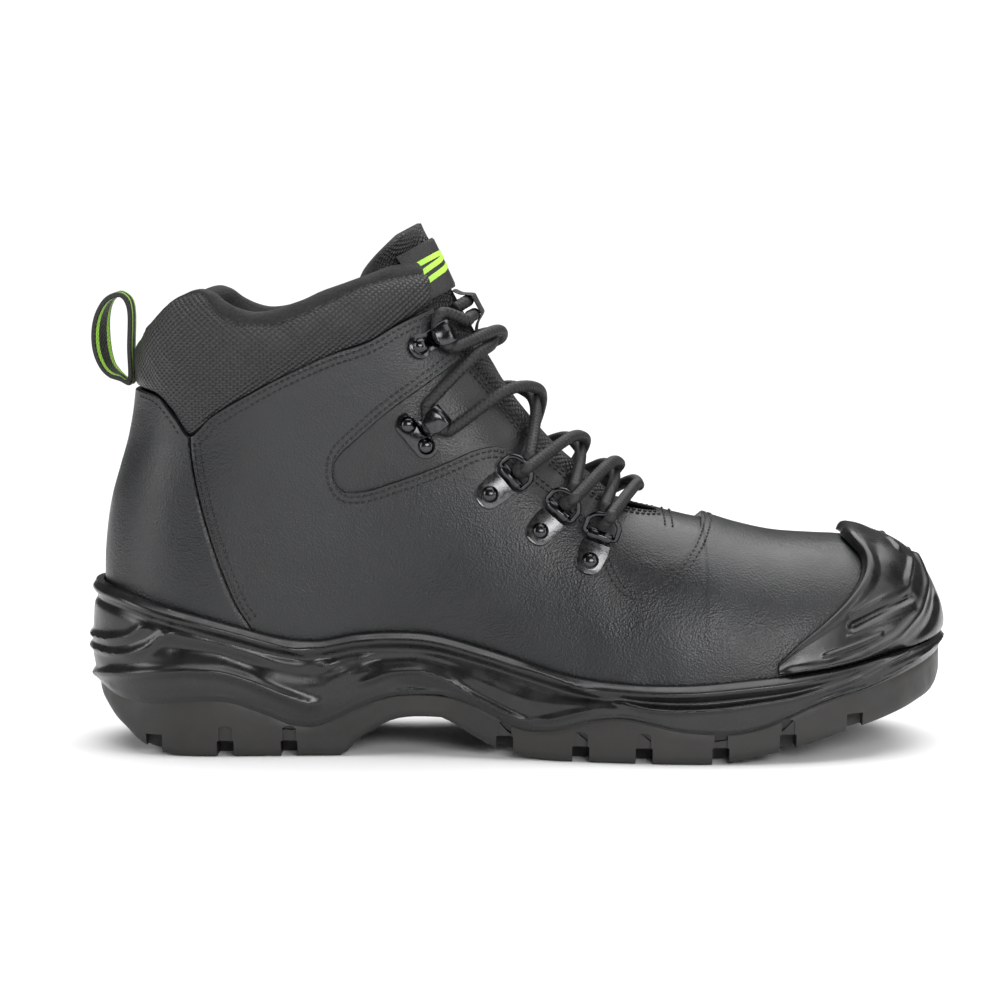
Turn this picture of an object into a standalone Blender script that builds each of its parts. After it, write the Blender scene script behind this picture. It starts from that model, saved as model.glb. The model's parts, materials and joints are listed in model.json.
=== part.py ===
"""A steel toe work boot for the right foot, built as its separate sub-parts.

The boot stands on z = 0 with its toe towards +X and its outer (lateral) side towards -Y. Every size in this
file is in millimetres, and `add` turns it into metres.

The last's surface is the master shape. `hull` gives a point on it from a station x and an angle phi, which
runs from 0 at the lateral feather line over the instep ridge to pi at the medial one. Each layer of the upper
is a patch of that surface, thickened between two distances from it, so the layers nest without touching.
"""

import math

import bmesh
import bpy
import numpy as np
from mathutils import Matrix

MM = 0.001

# Driving dimensions, for a men's EU 43 (UK 9) boot
SOLE_HEEL_X = -152.3
SOLE_TOE_X = 152.3
UPPER_TOE_X = 148.0
TOE_START_X = 84.0
HEEL_ROUND = 48.0
SOLE_WALL = 3.9
GAP = 0.3
SOLE_STEPS = 28

# Layers of the upper, as distances outward from the last's surface
LEATHER = (0.0, -1.6)
UNDERLAY = (-2.2, -3.2)
STEEL = (-2.3, -4.0)
LINING = (-4.9, -5.6)
CUP_CLEARANCE = 0.8

# Places along the boot
ARCH_X = 65.0
THROAT_X = 48.5
PANEL_TIP_X = -64.5
STRIP_END_X = -20.6
QUARTER_BACK_X = -114.0
STEEL_CAP_X = 96.0
FLANK_STATIONS = [-64.5, -56, -46, -37, -30, -25, -20.6, -12, -4, 4, 12, 20, 26, 30, 32.5, 36, 42, 48.5, 55, 60,
                  62.5, 64, 65]
TOE_STATIONS = [65, 74, 85, 96, 106, 115, 123, 130, 136, 141, 144.5, 146.7, 147.6]

# Cleats: the middles of the notches in the sole's edge
NOTCH_X = (-127.0, -102.0, -80.0, -5.5, 20.5, 42.0, 68.0, 91.0, 114.5)
NOTCH_WIDTH = 5.0

# Lace and fittings
LACE_RADIUS = 1.7
RING_WIRE = 0.9
RING_HALF = 5.8
RING_REACH = 8.0
RING_TILT = math.radians(35)
KNUCKLE = 1.9
PLATE = 0.9
SEAT_GAP = 0.1
HOOK_BEND = 3.15
HOOK_BEND_T = 2.6
HOOK_NECK = 3.4


def smooth(points):
    """A smooth curve v(x) through the points, flat wherever they turn back."""
    px, pv = (np.array(column, float) for column in zip(*points))
    step = np.diff(px)
    slope = np.diff(pv) / step
    tangent = np.concatenate([[slope[0]], (slope[:-1] + slope[1:]) / 2, [slope[-1]]])
    turning = np.concatenate([[False], slope[:-1] * slope[1:] <= 0, [False]])
    tangent[turning] = 0.0

    def curve(x):
        x = np.clip(np.asarray(x, float), px[0], px[-1])
        i = np.clip(np.searchsorted(px, x) - 1, 0, len(step) - 1)
        t = (x - px[i]) / step[i]
        start = pv[i] * (1 + 2 * t) + tangent[i] * step[i] * t
        end = pv[i + 1] * (3 - 2 * t) - tangent[i + 1] * step[i] * (1 - t)
        return start * (1 - t) ** 2 + end * t**2

    return curve


# The last: instep ridge, feather edge, heel back, half-widths and the bend of its centre line
RIDGE = smooth([
    (-150, 430), (-100, 318), (-60, 235), (-40, 194), (-28, 171), (-21, 157.5), (-13, 143.5), (-6, 132),
    (4, 118.5), (14, 107.5), (25, 98.5), (36, 91), (47, 86), (58, 83), (66, 81.2), (76, 78), (90, 74.8),
    (104, 73.6), (115, 73), (124, 71.6), (131, 69), (137, 65), (141.5, 59.5), (144.5, 53.5), (146.5, 47.5),
    (148, 40),
])
BASE = smooth([(-150, 30), (-100, 28), (-43, 26), (-28, 26), (0, 21.5), (20, 17.5), (50, 15), (70, 15.3),
               (90, 18), (110, 24), (130, 29.5), (150, 33)])
RIM = smooth([(-150, 58.5), (-140, 56.6), (-126, 52.6), (-112, 49.2), (-97.5, 45.3), (-83, 41.3), (-71, 40.2),
              (-57, 42.5), (-43, 43.3), (-32, 42.8), (-12, 38), (8, 32), (18, 29.3), (30, 27.8), (45, 27),
              (60, 27.3), (75, 28.6), (90, 30), (110, 32.5), (130, 36), (150, 39)])
HEEL_BACK = smooth([(20, -145.5), (40, -147.3), (60, -147.4), (75, -146.6), (88, -144.6), (98, -141.8),
                    (108, -138.8), (118, -136.8), (126, -135.8), (134, -134.3), (145, -133.4), (154, -132.3),
                    (162, -129.4), (240, -100)])
FOOT = smooth([(-150, 34), (-120, 35.5), (-90, 34.8), (-60, 33.8), (-30, 34.8), (0, 39.5), (30, 45),
               (55, 48.5), (75, 49.3), (95, 48.8), (112, 48), (150, 47)])
FLARE = smooth([(20, -1.5), (50, 0), (90, 0.5), (110, 2), (130, 5), (150, 8.5), (170, 9.5), (240, 9.5)])
CENTRE = smooth([(-150, 0), (-60, 0.5), (-10, -1), (40, -2.2), (80, -0.5), (120, 4), (150, 8.5)])
BOXINESS = smooth([(-40, 2.0), (30, 2.05), (90, 2.35), (150, 2.5)])

# Edges of the leather pieces on the side of the boot
HEEL_SEAM = smooth([(28, -87), (44.6, -93.4), (51.6, -97.8), (61.4, -102.1), (73.5, -106.5), (85.5, -109.9),
                    (95.8, -112.3), (104.4, -113.6), (112, -114), (130, -114)])
COLLAR_SEAM = smooth([(-137, 126.6), (-132, 125.8), (-125.3, 123.5), (-119, 117), (-114, 111), (-106.9, 117.4),
                      (-95.1, 124.7), (-80.7, 132.4), (-65.4, 139), (-52.1, 143.7), (-42.6, 149.2),
                      (-30.3, 155)])
COLLAR_TOP = smooth([(-136, 147), (-131, 151), (-127.5, 155), (-122.5, 159), (-115, 161.8), (-110, 160.4),
                     (-104.4, 157), (-98.5, 154.4), (-92, 153.2), (-85, 154), (-80, 155.8), (-75, 157.6),
                     (-69, 160.4), (-61, 163.2), (-51, 166.5), (-42, 169.3), (-31, 170.6)])
LACING_EDGE = smooth([(-30.3, 154.6), (-20.6, 142), (-15.8, 136.4), (-7.1, 125.8), (1.6, 114.8), (10.3, 105.2),
                      (22.5, 94.8), (34.7, 88.2), (41, 86.2), (48.5, 84.9)])
PANEL_TOP = smooth([(-64.5, 100.5), (-62.5, 103.8), (-58.3, 107.8), (-45.2, 119.2), (-32, 128.7),
                    (-20.6, 137.2)])
VAMP_EDGE = smooth([(-64.5, 96), (-62.5, 92.8), (-59, 91.2), (-54, 91.6), (-46.4, 93.9), (-35, 97.8),
                    (-23.4, 102.5), (-15.7, 105.8), (-8.5, 107), (-2.3, 104.8), (3.3, 100.3), (8.5, 95.8),
                    (13.7, 91.7), (20.6, 85.6), (25.7, 80.9), (30, 75.5), (32.2, 68), (36, 61), (42.3, 58.7),
                    (48.7, 61.1), (55.2, 67.6), (60, 74), (63.5, 79.3), (65, 84)])
UNDERLAY_LOW = smooth([(-70, 98), (-66, 88.5), (-58, 85), (-46, 87.5), (-35, 91.5), (-23, 96.5), (-12, 99.5),
                       (-4, 98), (3, 93.5), (9, 88.5), (15, 84), (20, 79), (24, 72), (27, 65), (31, 57.5),
                       (37, 54), (44, 53), (52, 56.5), (60, 65), (69, 76)])
UNDERLAY_TOP = smooth([(-70, 101.5), (-66, 107), (-58, 115), (-45, 126.5), (-36, 134), (-30, 141), (-25, 144),
                       (-20.6, 142), (-15.8, 136.4), (-7.1, 125.8), (1.6, 114.8), (10.3, 105.2), (22.5, 94.8),
                       (34.7, 88.2), (41, 86.2), (48.5, 84.9)])

# The sole: its underside, the line where outsole meets midsole, and the dish inside that line
TREAD = smooth([(-152, 22), (-149, 18), (-145.6, 14.9), (-141.5, 11), (-137.3, 8), (-133.2, 4.6), (-125, 1.2),
                (-117, 0), (-62, 0), (-57.3, 4.9), (-50.7, 9.3), (-43.5, 12.8), (-28.3, 13.8), (-21.8, 10.9),
                (-15.3, 7), (-7.8, 3.4), (3, 1), (16, 0), (62, 0), (73.2, 1.1), (88, 4), (100, 7),
                (112.4, 10.4), (125, 13.5), (137.5, 17.2), (149.2, 22.6), (152, 27)])
PARTING = smooth([(-152, 24.5), (-141, 20.5), (-126.7, 18.9), (-113.6, 20), (-101, 19.6), (-94, 17.3),
                  (-86.7, 14.5), (-79.5, 11.4), (-72.3, 10.7), (-65, 13), (-57.8, 16.6), (-50.5, 19.6),
                  (-43.3, 21.5), (-31.9, 21.9), (-21.7, 20.6), (-11.9, 16.6), (-2, 11.8), (4.5, 10.6),
                  (11, 10.9), (24, 14.2), (34, 15.3), (43.6, 13.9), (53.2, 11.8), (69.2, 10.8), (81, 12.5),
                  (90, 15.6), (98.4, 19), (107, 21.5), (118.6, 24), (128, 27), (139.5, 29.5), (150, 31)])
DISH = smooth([(-152, 23), (-145, 17.5), (-134, 9.5), (-122, 7.5), (-62, 7.5), (-43.5, 17.3), (-28.3, 18.3),
               (-8, 9.5), (10, 6.8), (60, 6), (88, 9.5), (112, 15.5), (137, 21.5), (150, 26)])


def half_width(x, z):
    """Half the last's width at its widest, with the heel and toe rounded off."""
    fade = np.clip((30 - x) / 75, 0, 1)
    width = FOOT(x) + FLARE(z) * fade * fade * (3 - 2 * fade)
    heel = np.clip((x - HEEL_BACK(z)) / HEEL_ROUND, 0, 1)
    toe = np.clip((x - TOE_START_X) / (UPPER_TOE_X - TOE_START_X), 0, 1)
    return width * (1 - (1 - heel) ** 2.15) ** (1 / 2.15) * (1 - toe**2.5) ** (1 / 2.2)


def rise(x, z):
    return np.clip((z - BASE(x)) / (RIDGE(x) - BASE(x)), 0, 1)


def half_breadth(x, z):
    """Half the last's width at a height z of the section at x."""
    power = BOXINESS(x)
    return half_width(x, z) * (1 - rise(x, z) ** power) ** (1 / power)


def hull(x, phi):
    """A point on the last's surface."""
    power = BOXINESS(x)
    cos, sin = np.cos(phi), np.sin(phi)
    reach = (np.abs(cos) ** power + np.abs(sin) ** power) ** (1 / power)
    z = BASE(x) + (RIDGE(x) - BASE(x)) * sin / reach
    return np.stack([x + 0 * z, CENTRE(x) - half_width(x, z) * cos / reach, z], -1)


def angle_at(x, z):
    """The lateral angle phi where the section at x has the height z."""
    power = BOXINESS(x)
    height = rise(x, z)
    return np.arctan2(height, (1 - height**power) ** (1 / power))


def field(p):
    """Below 0 inside the last, 0 on its surface and above 0 outside."""
    x, y, z = p[..., 0], p[..., 1], p[..., 2]
    power = BOXINESS(x)
    lift = np.maximum((z - BASE(x)) / (RIDGE(x) - BASE(x)), 0)
    breadth = np.abs(y - CENTRE(x))
    body = (breadth / np.maximum(half_width(x, z), 0.4)) ** power + lift**power - 1
    widest = FOOT(x) + FLARE(z) * np.clip((30 - x) / 75, 0, 1)
    full = widest * np.maximum(1 - lift**power, 1e-4) ** (1 / power)
    back = np.clip(1 - (x - HEEL_BACK(z)) / HEEL_ROUND, 0, None)
    heel = (breadth / np.maximum(full, 0.4)) ** 2.15 + back**2.15 - 1
    return np.where(back > 0, heel, body)


def outward(p):
    """The last's outward unit normal near the points p."""
    step = 0.05
    slopes = [field(p + step * axis) - field(p - step * axis) for axis in np.eye(3)]
    normal = np.stack(slopes, -1)
    return normal / np.linalg.norm(normal, axis=-1, keepdims=True)


def offset(p, distance):
    return p + outward(p) * np.asarray(distance, float)[..., None]


def mirrored(p):
    """The same points on the other side of the boot's centre line."""
    q = p.copy()
    q[..., 1] = 2 * CENTRE(p[..., 0]) - p[..., 1]
    return q


def cast(origin, direction, reach=120.0):
    """Where rays from inside the last leave it."""
    near = np.zeros(direction.shape[:-1])
    far = near + reach
    for _ in range(26):
        middle = (near + far) / 2
        inside = field(origin + direction * middle[..., None]) < 0
        near = np.where(inside, middle, near)
        far = np.where(inside, far, middle)
    return origin + direction * near[..., None]


# Mesh making

SOLE_MIDDLE_Y = 0.0
MATERIALS = {}


def material(name, colour, roughness, metallic=0.0):
    made = bpy.data.materials.new(name)
    made.use_nodes = True
    shader = made.node_tree.nodes["Principled BSDF"]
    shader.inputs["Base Color"].default_value = (*colour, 1)
    shader.inputs["Roughness"].default_value = roughness
    shader.inputs["Metallic"].default_value = metallic
    made.diffuse_color = (*colour, 1)
    MATERIALS[name] = made


def add(name, points, faces, slot, pivot=(0, 0, 0), flat=False):
    """A named object from points in mm, with its origin at the pivot."""
    pivot = np.array(pivot, float)
    shift = np.array([0, SOLE_MIDDLE_Y, 0])
    mesh = bpy.data.meshes.new(name)
    mesh.from_pydata(((np.array(points) - pivot) * MM).tolist(), [], [list(map(int, face)) for face in faces])
    build = bmesh.new()
    build.from_mesh(mesh)
    bmesh.ops.recalc_face_normals(build, faces=build.faces)
    if build.calc_volume(signed=True) < 0:
        bmesh.ops.reverse_faces(build, faces=build.faces)
    build.to_mesh(mesh)
    build.free()
    mesh.materials.append(MATERIALS[slot])
    if flat:
        mesh.shade_flat()
    else:
        mesh.shade_smooth()
        mesh.set_sharp_from_angle(angle=math.radians(40))
    made = bpy.data.objects.new(name, mesh)
    made.location = ((pivot - shift) * MM).tolist()
    bpy.context.collection.objects.link(made)
    return made


def grid_faces(columns, rows, first=0, closed=False):
    """Quads over a grid of points, column by column."""
    faces = []
    for c in range(columns - 1):
        for r in range(rows if closed else rows - 1):
            s = (r + 1) % rows
            faces.append((first + c * rows + r, first + (c + 1) * rows + r,
                          first + (c + 1) * rows + s, first + c * rows + s))
    return faces


def weld(patches, nearest=0.06):
    """One list of points and faces from grids of points that share their edges."""
    points, faces = [], []
    for patch in patches:
        columns, rows = patch.shape[:2]
        index = []
        for p in patch.reshape(-1, 3):
            apart = np.abs(np.array(points) - p).max(axis=1) if points else np.array([np.inf])
            if apart.min() < nearest:
                index.append(int(apart.argmin()))
            else:
                index.append(len(points))
                points.append(p)
        for face in grid_faces(columns, rows):
            corners = [index[i] for i in face]
            kept = [v for k, v in enumerate(corners) if v != corners[k - 1]]
            if len(set(kept)) > 2:
                faces.append(kept)
    return np.array(points), faces


def thicken(outer, inner, faces):
    """A closed shell between two sheets with the same faces."""
    count = len(outer)
    faces = [list(face) for face in faces]
    edges = {}
    for face in faces:
        for a, b in zip(face, face[1:] + face[:1]):
            key = (min(a, b), max(a, b))
            edges[key] = edges.get(key, 0) + 1
    shell = faces + [[v + count for v in reversed(face)] for face in faces]
    shell += [[a, b, b + count, a + count] for (a, b), uses in edges.items() if uses == 1]
    return np.concatenate([outer, inner]), shell


def layer(name, patches, depths, slot):
    """A layer of the upper: patches of the last's surface between two distances from it."""
    points, faces = weld(patches)
    outer, inner = offset(points, depths[0]), offset(points, depths[1])
    return add(name, *thicken(outer, inner, faces), slot)


def loft(name, rings, slot, pivot=(0, 0, 0), caps=True):
    """A closed solid through rings of points, with flat ends or, without caps, joined end to start."""
    rings = np.array(rings)
    columns, rows = rings.shape[:2]
    faces = grid_faces(columns, rows, closed=True)
    if caps:
        faces.append(list(range(rows)))
        faces.append([(columns - 1) * rows + r for r in reversed(range(rows))])
    else:
        last = (columns - 1) * rows
        faces += [(last + r, r, (r + 1) % rows, last + (r + 1) % rows) for r in range(rows)]
    return add(name, rings.reshape(-1, 3), faces, slot, pivot)


# The sole


def plan(x0, x1, half, count=SOLE_STEPS):
    """A closed outline in plan, from the heel along the lateral side to the toe and back."""
    turn = np.pi * np.arange(count + 1) / count
    x = x0 + (x1 - x0) * (1 - np.cos(turn)) / 2
    y = half(x)
    y[0] = y[-1] = 0
    lateral = np.stack([x, CENTRE(x) - y], -1)
    medial = np.stack([x, CENTRE(x) + y], -1)
    return np.concatenate([lateral, medial[-2:0:-1]])


def sole_plan(x0, x1, widen=0.0):
    """The sole's outline between two ends, moved outward by widen."""

    def half(x):
        heel = np.clip((x - x0) / 46, 0, 1)
        toe = np.clip((x - TOE_START_X) / (x1 - TOE_START_X), 0, 1)
        ends = (1 - (1 - heel) ** 2.2) ** (1 / 2.2) * (1 - toe**2.5) ** (1 / 2.2)
        return (FOOT(x) + SOLE_WALL + widen) * ends

    return plan(x0, x1, half)


def last_plan(level, clearance, count=SOLE_STEPS):
    """The last's outline at the height level(x), moved outward by the clearance."""
    turn = np.pi * np.arange(count + 1) / count
    start = float(HEEL_BACK(level(np.array(-147.0)))) + 0.01
    end = UPPER_TOE_X - 0.4
    x = start + (end - start) * (1 - np.cos(turn)) / 2
    z = level(x)
    y = half_breadth(x, z)
    y[0] = y[-1] = 0
    x[-1] += 0.3
    lateral = np.stack([x, CENTRE(x) - y, z], -1)
    normal = outward(lateral)
    normal[0] = (-1, 0, 0)
    normal[-1] = (1, 0, 0)
    normal[:, 2] = 0
    lateral += clearance * normal / np.linalg.norm(normal, axis=1, keepdims=True)
    medial = mirrored(lateral)
    return np.concatenate([lateral[:, :2], medial[-2:0:-1, :2]])


def at_height(outline, height):
    return np.column_stack([outline, height(outline[:, 0])])


def dished(name, rings, slot, upward=False):
    """A closed solid through outlines of the sole, with its first and last outlines filled across.

    Outlines that two parts share are split into the same triangles: one part lists them upward.
    """
    rings = np.array(rings)
    columns, rows = rings.shape[:2]
    faces = []
    for a, b, c, d in grid_faces(columns, rows, closed=True):
        faces += [(a, b, d), (b, c, d)] if upward else [(a, b, c), (a, c, d)]
    half = rows // 2
    for first in (0, (columns - 1) * rows):
        for k in range(half):
            a, b = first + k, first + k + 1
            c, d = first + (rows - k - 1) % rows, first + (rows - k) % rows
            quad = [v for v in dict.fromkeys((a, b, c, d))]
            faces.append(quad if first else quad[::-1])
    return add(name, rings.reshape(-1, 3), faces, slot)


def raised(curve, amount):
    return lambda x: curve(x) + amount


def between(low, high, part):
    return lambda x: low(x) + (high(x) - low(x)) * part


def groove(points, depth):
    """A cutter along a run of (x, lateral y, medial y), as deep as given everywhere above the tread."""
    rings = []
    for x, y0, y1 in points:
        top = float(TREAD(x)) + depth
        rings.append([(x, y0, -3), (x, y1, -3), (x, y1, top), (x, y0, top)])
    return rings


def cut(part, name, grooves):
    """Cuts a set of grooves that don't meet each other out of a part."""
    points, faces = [], []
    for rings in grooves:
        first = len(points)
        faces += grid_faces(len(rings), 4, first, closed=True)
        faces.append([first + k for k in range(4)])
        faces.append([first + (len(rings) - 1) * 4 + k for k in (3, 2, 1, 0)])
        points += [p for ring in rings for p in ring]
    cutter = add(name, points, faces, "rubber")
    cutter.hide_render = True
    cutter.display_type = "WIRE"
    boolean = part.modifiers.new(name, "BOOLEAN")
    boolean.operation = "DIFFERENCE"
    boolean.solver = "EXACT"
    boolean.object = cutter


def outsole():
    full = sole_plan(-149.5, 151.3, -0.6)
    part = dished("outsole", [
        at_height(sole_plan(-148.0, 149.4, -2.4), TREAD),
        at_height(full, raised(TREAD, 1.8)),
        at_height(full, raised(PARTING, -GAP / 2)),
        at_height(sole_plan(-147.6, 148.3, -2.4), raised(DISH, -GAP / 2)),
    ], "rubber")
    half = NOTCH_WIDTH / 2
    notches = []
    for x in NOTCH_X:
        middle, reach = float(CENTRE(x)), float(FOOT(x)) + 8
        for side in (-1, 1):
            near, far = sorted((middle + side * (reach - 20), middle + side * reach))
            notches.append(groove([(x - half, near, far), (x + half, near, far)], 6.5))
    cut(part, "edge_notches", notches)
    channels = []
    for start, end in ((-122, -66), (-2, 116)):
        for side in (-1, 1):
            run = np.linspace(start, end, 6)
            channels.append(groove([(x, float(CENTRE(x)) + side * 21 - 2, float(CENTRE(x)) + side * 21 + 2)
                                    for x in run], 3.6))
    cut(part, "channels", channels)
    bars = []
    for x in (-114, -91, 7.5, 31, 55, 79.5, 102.5):
        middle = float(CENTRE(x))
        bars.append(groove([(x - 2, middle - 20, middle + 20), (x + 2, middle - 20, middle + 20)], 3.2))
    cut(part, "cross_grooves", bars)


def midsole():
    profile = [
        (0.0, -149.5, 150.0, -0.6),
        (0.2, -152.0, 152.2, 0.4),
        (0.45, SOLE_HEEL_X, SOLE_TOE_X, 0.7),
        (0.62, -151.4, 151.7, -0.6),
        (0.8, -151.6, 151.8, -0.2),
        (1.0, -151.0, 151.4, -0.6),
    ]
    low = raised(PARTING, GAP / 2)
    rings = [at_height(sole_plan(-147.0, 147.7, -3.0), raised(DISH, GAP / 2))]
    rings += [at_height(sole_plan(x0, x1, widen), between(low, RIM, part)) for part, x0, x1, widen in profile]
    rings.append(at_height(last_plan(RIM, CUP_CLEARANCE), RIM))
    rings.append(at_height(last_plan(raised(BASE, 0.0), CUP_CLEARANCE), raised(BASE, -4.4)))
    dished("midsole", rings, "sole", upward=True)


def sole_board(name, low, high, inset, slot, pivot=(0, 0, 0)):
    """A flat board inside the cup of the sole, between two heights above the feather edge."""
    outline = last_plan(raised(BASE, 0.0), -inset)
    part = dished(name, [at_height(outline, raised(BASE, low)), at_height(outline, raised(BASE, high))], slot)
    part.location = (np.array(pivot) - np.array([0, SOLE_MIDDLE_Y, 0])) * MM
    part.data.transform(Matrix.Translation((np.array(pivot) * -MM).tolist()))
    return part


# The upper


def flank(stations, low, top, rows, side=-1):
    """A patch of one side of the boot between two edges, each a height z or pi / 2 for the ridge."""
    x = np.array(stations, float)
    start = angle_at(x, low(x))
    end = np.full(len(x), np.pi / 2) if top is None else angle_at(x, top(x))
    part = np.linspace(0, 1, rows + 1)
    phi = start[:, None] + (end - start)[:, None] * part
    patch = hull(np.repeat(x[:, None], rows + 1, axis=1), phi)
    return patch if side < 0 else mirrored(patch)


def behind(columns, low, top, rows, side=-1):
    """A patch of the quarter from the heel seam to the tip of the ankle panel."""
    share = np.linspace(0, 1, columns)
    x = QUARTER_BACK_X + (PANEL_TIP_X - QUARTER_BACK_X) * share
    z = flank(x, low, top, rows)[..., 2]
    seam = HEEL_SEAM(z) + 0.25
    x = seam + (PANEL_TIP_X - seam) * share[:, None]
    patch = np.stack([x, CENTRE(x) - half_breadth(x, z), z], -1)
    return patch if side < 0 else mirrored(patch)


def heel_wrap(columns, low, top, rows, front):
    """A patch round the heel, from the lateral front edge to the medial one."""
    turn = np.linspace(-1, 1, columns)
    bend = 1 - np.cos(np.abs(turn) * np.pi / 2)
    back = HEEL_BACK(np.array(118.0))
    x = back + (front(np.array(118.0)) - back) * bend
    z = low + (top(x) - low)[:, None] * np.linspace(0, 1, rows + 1)
    x = HEEL_BACK(z) + (front(z) - HEEL_BACK(z)) * bend[:, None]
    y = CENTRE(x) + np.sign(turn)[:, None] * half_breadth(np.maximum(x, HEEL_BACK(z) + 1e-4), z)
    y[columns // 2] = CENTRE(x[columns // 2])
    return np.stack([x, y, z], -1)


def toe_end(rows, low, last=TOE_STATIONS[-1]):
    """The narrow front of the toe, from the lateral side of the last station to the medial side."""
    lateral = flank([last], low, None, rows)[0]
    return np.stack([lateral, mirrored(lateral)])


def constant(value):
    return lambda x: np.full(np.shape(x), float(value))


def vamp_and_quarters():
    """The whole-cut upper leather: open at the lacing and with a window for each ankle panel."""
    foot = raised(BASE, 1.0)
    rows = 6
    seam = raised(COLLAR_SEAM, -0.4)
    patches = [toe_end(rows, foot)]
    strip = [x for x in FLANK_STATIONS if x <= STRIP_END_X]
    strip_top = smooth([(x, min(float(seam(x)), float(LACING_EDGE(x))) if x > -30.3 else float(seam(x)))
                        for x in strip])
    for side in (-1, 1):
        patches.append(behind(6, foot, constant(96), rows, side))
        patches.append(behind(6, constant(96), constant(100.5), 1, side))
        patches.append(behind(6, constant(100.5), seam, 3, side))
        patches.append(flank(FLANK_STATIONS[:-1] + [ARCH_X], foot, VAMP_EDGE, rows, side))
        patches.append(flank(TOE_STATIONS, foot, None, rows, side))
        patches.append(flank(strip, PANEL_TOP, strip_top, 3, side))
    layer("vamp_quarters", patches, LEATHER, "leather")


def facing():
    """The underlay that shows in the ankle windows and runs along the lacing and round the throat."""
    stations = [-70, -65, -58, -50, -42, -35, -30, -25, -20.6, -12, -4, 4, 12, 20, 24, 28, 32.5, 37, 42, THROAT_X]
    front = [THROAT_X, 54, 60, 65, 69]
    patches = []
    for side in (-1, 1):
        patches.append(flank(stations, UNDERLAY_LOW, UNDERLAY_TOP, 4, side))
        patches.append(flank(front, UNDERLAY_LOW, underlay_crown, 4, side))
        patches.append(flank(front, underlay_crown, None, 2, side))
    layer("facing", patches, UNDERLAY, "leather")


def underlay_crown(x):
    """A line ahead of the throat that carries the lacing edge on to the ridge."""
    low = UNDERLAY_LOW(x)
    foot = UNDERLAY_LOW(THROAT_X)
    share = (UNDERLAY_TOP(THROAT_X) - foot) / (RIDGE(THROAT_X) - foot)
    return low + (RIDGE(x) - low) * share


def heel_cover():
    front = raised(HEEL_SEAM, -0.25)
    layer("heel_cover", [heel_wrap(15, 29, raised(COLLAR_SEAM, -0.4), 6, front)], LEATHER, "leather")


def heel_stiffener():
    layer("heel_stiffener", [heel_wrap(13, 31, constant(98), 4, constant(-92))], STEEL, "board")


def steel_toe_cap():
    foot = raised(BASE, 1.0)
    stations = [x for x in TOE_STATIONS if x >= STEEL_CAP_X]
    patches = [toe_end(6, foot)] + [flank(stations, foot, None, 6, side) for side in (-1, 1)]
    layer("steel_toe_cap", patches, STEEL, "steel")


def lining():
    """The sock of lining inside the upper, open at the lacing and the collar."""
    foot = raised(BASE, 1.0)
    rows = 5
    back = np.array([-98, -84, -70, -56, -44, -36, -30.3])
    top = raised(COLLAR_SEAM, -3.0)
    edge = raised(LACING_EDGE, -1.5)
    part = np.linspace(0, 1, rows + 1)
    patches = [heel_wrap(11, 30, top, rows, constant(-98))]
    middle = [-30.3, -25, -18, -8, 4, 16, 28, 38, THROAT_X]
    front = [THROAT_X, 57, *TOE_STATIONS]
    for side in (-1, 1):
        low = 30 + (foot(back) - 30) * np.clip((back + 98) / 28, 0, 1)
        high = top(back)
        high[-1] = edge(-30.3)
        z = low[:, None] + (high - low)[:, None] * part
        x = np.repeat(back[:, None], rows + 1, axis=1)
        y = CENTRE(x) + side * half_breadth(x, z)
        patches.append(np.stack([x, y, z], -1))
        bend = patches[-1][-1]
        patch = flank(middle, foot, edge, rows, side)
        patch[0] = bend
        patches.append(patch)
        patches.append(flank(front, foot, None, rows + 1, side))
    layer("lining", joined_at_throat(patches, rows), LINING, "lining")


def joined_at_throat(patches, rows):
    """Brings the sides' last column at the throat onto the first column of the toe's arch."""
    for k in (2, 5):
        arch = patches[k + 1][0]
        patches[k][-1] = arch[: rows + 1]
    last = patches[3][-1], patches[6][-1]
    patches.append(np.stack(last))
    return patches


# The collar


def collar_front(z):
    """The collar's front edge, leaning back a little as it rises."""
    return -31.0 - 0.2 * (np.asarray(z, float) - 155)


def collar_rings(profile, columns=25):
    """Rings of a padded section carried round the top of the boot: (height share, distance outward)."""
    share, depth = (np.array(v, float) for v in zip(*profile))
    turn = np.linspace(-1, 1, columns)
    bend = 1 - np.cos(np.abs(turn) * np.pi / 2)
    x = -135.6 + (-31 + 135.6) * bend
    low, top = COLLAR_SEAM(x) + 1.2, COLLAR_TOP(x)
    z = low[:, None] + (top - low)[:, None] * share
    x = HEEL_BACK(z) + (collar_front(z) - HEEL_BACK(z)) * bend[:, None]
    y = CENTRE(x) + np.sign(turn)[:, None] * half_breadth(np.maximum(x, HEEL_BACK(z) + 1e-4), z)
    y[columns // 2] = CENTRE(x[columns // 2])
    surface = np.stack([x, y, z], -1)
    thin = collar_share(x)
    depth = np.where(depth < -1.6, -1.6 + (depth + 1.6) * thin, depth + 0 * thin)
    return offset(surface, depth)


def collar():
    """The padded collar's cover: an upturned U of fabric, open below."""
    outer = [(0, -0.7), (0.3, 0.9), (0.65, 1.3), (0.88, 0.2), (1.0, -4.4), (0.9, -9), (0.6, -10.6), (0.25, -9.8),
             (-0.02, -8.4)]
    inner = [(-0.02, -7.4), (0.25, -8.9), (0.6, -9.6), (0.87, -8), (0.95, -4.4), (0.84, -1), (0.65, 0.2),
             (0.3, -0.2), (0, -1.6)]
    loft("collar", collar_rings(outer + inner), "mesh_fabric")
    foam = [(0.08, -2.1), (0.3, -0.9), (0.62, -0.5), (0.8, -1.5), (0.88, -4.4), (0.8, -7.0), (0.58, -8.3),
            (0.25, -7.7), (0.08, -6.8)]
    loft("collar_foam", collar_rings(foam), "foam")


# The scuff cap that wraps the toe

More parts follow.
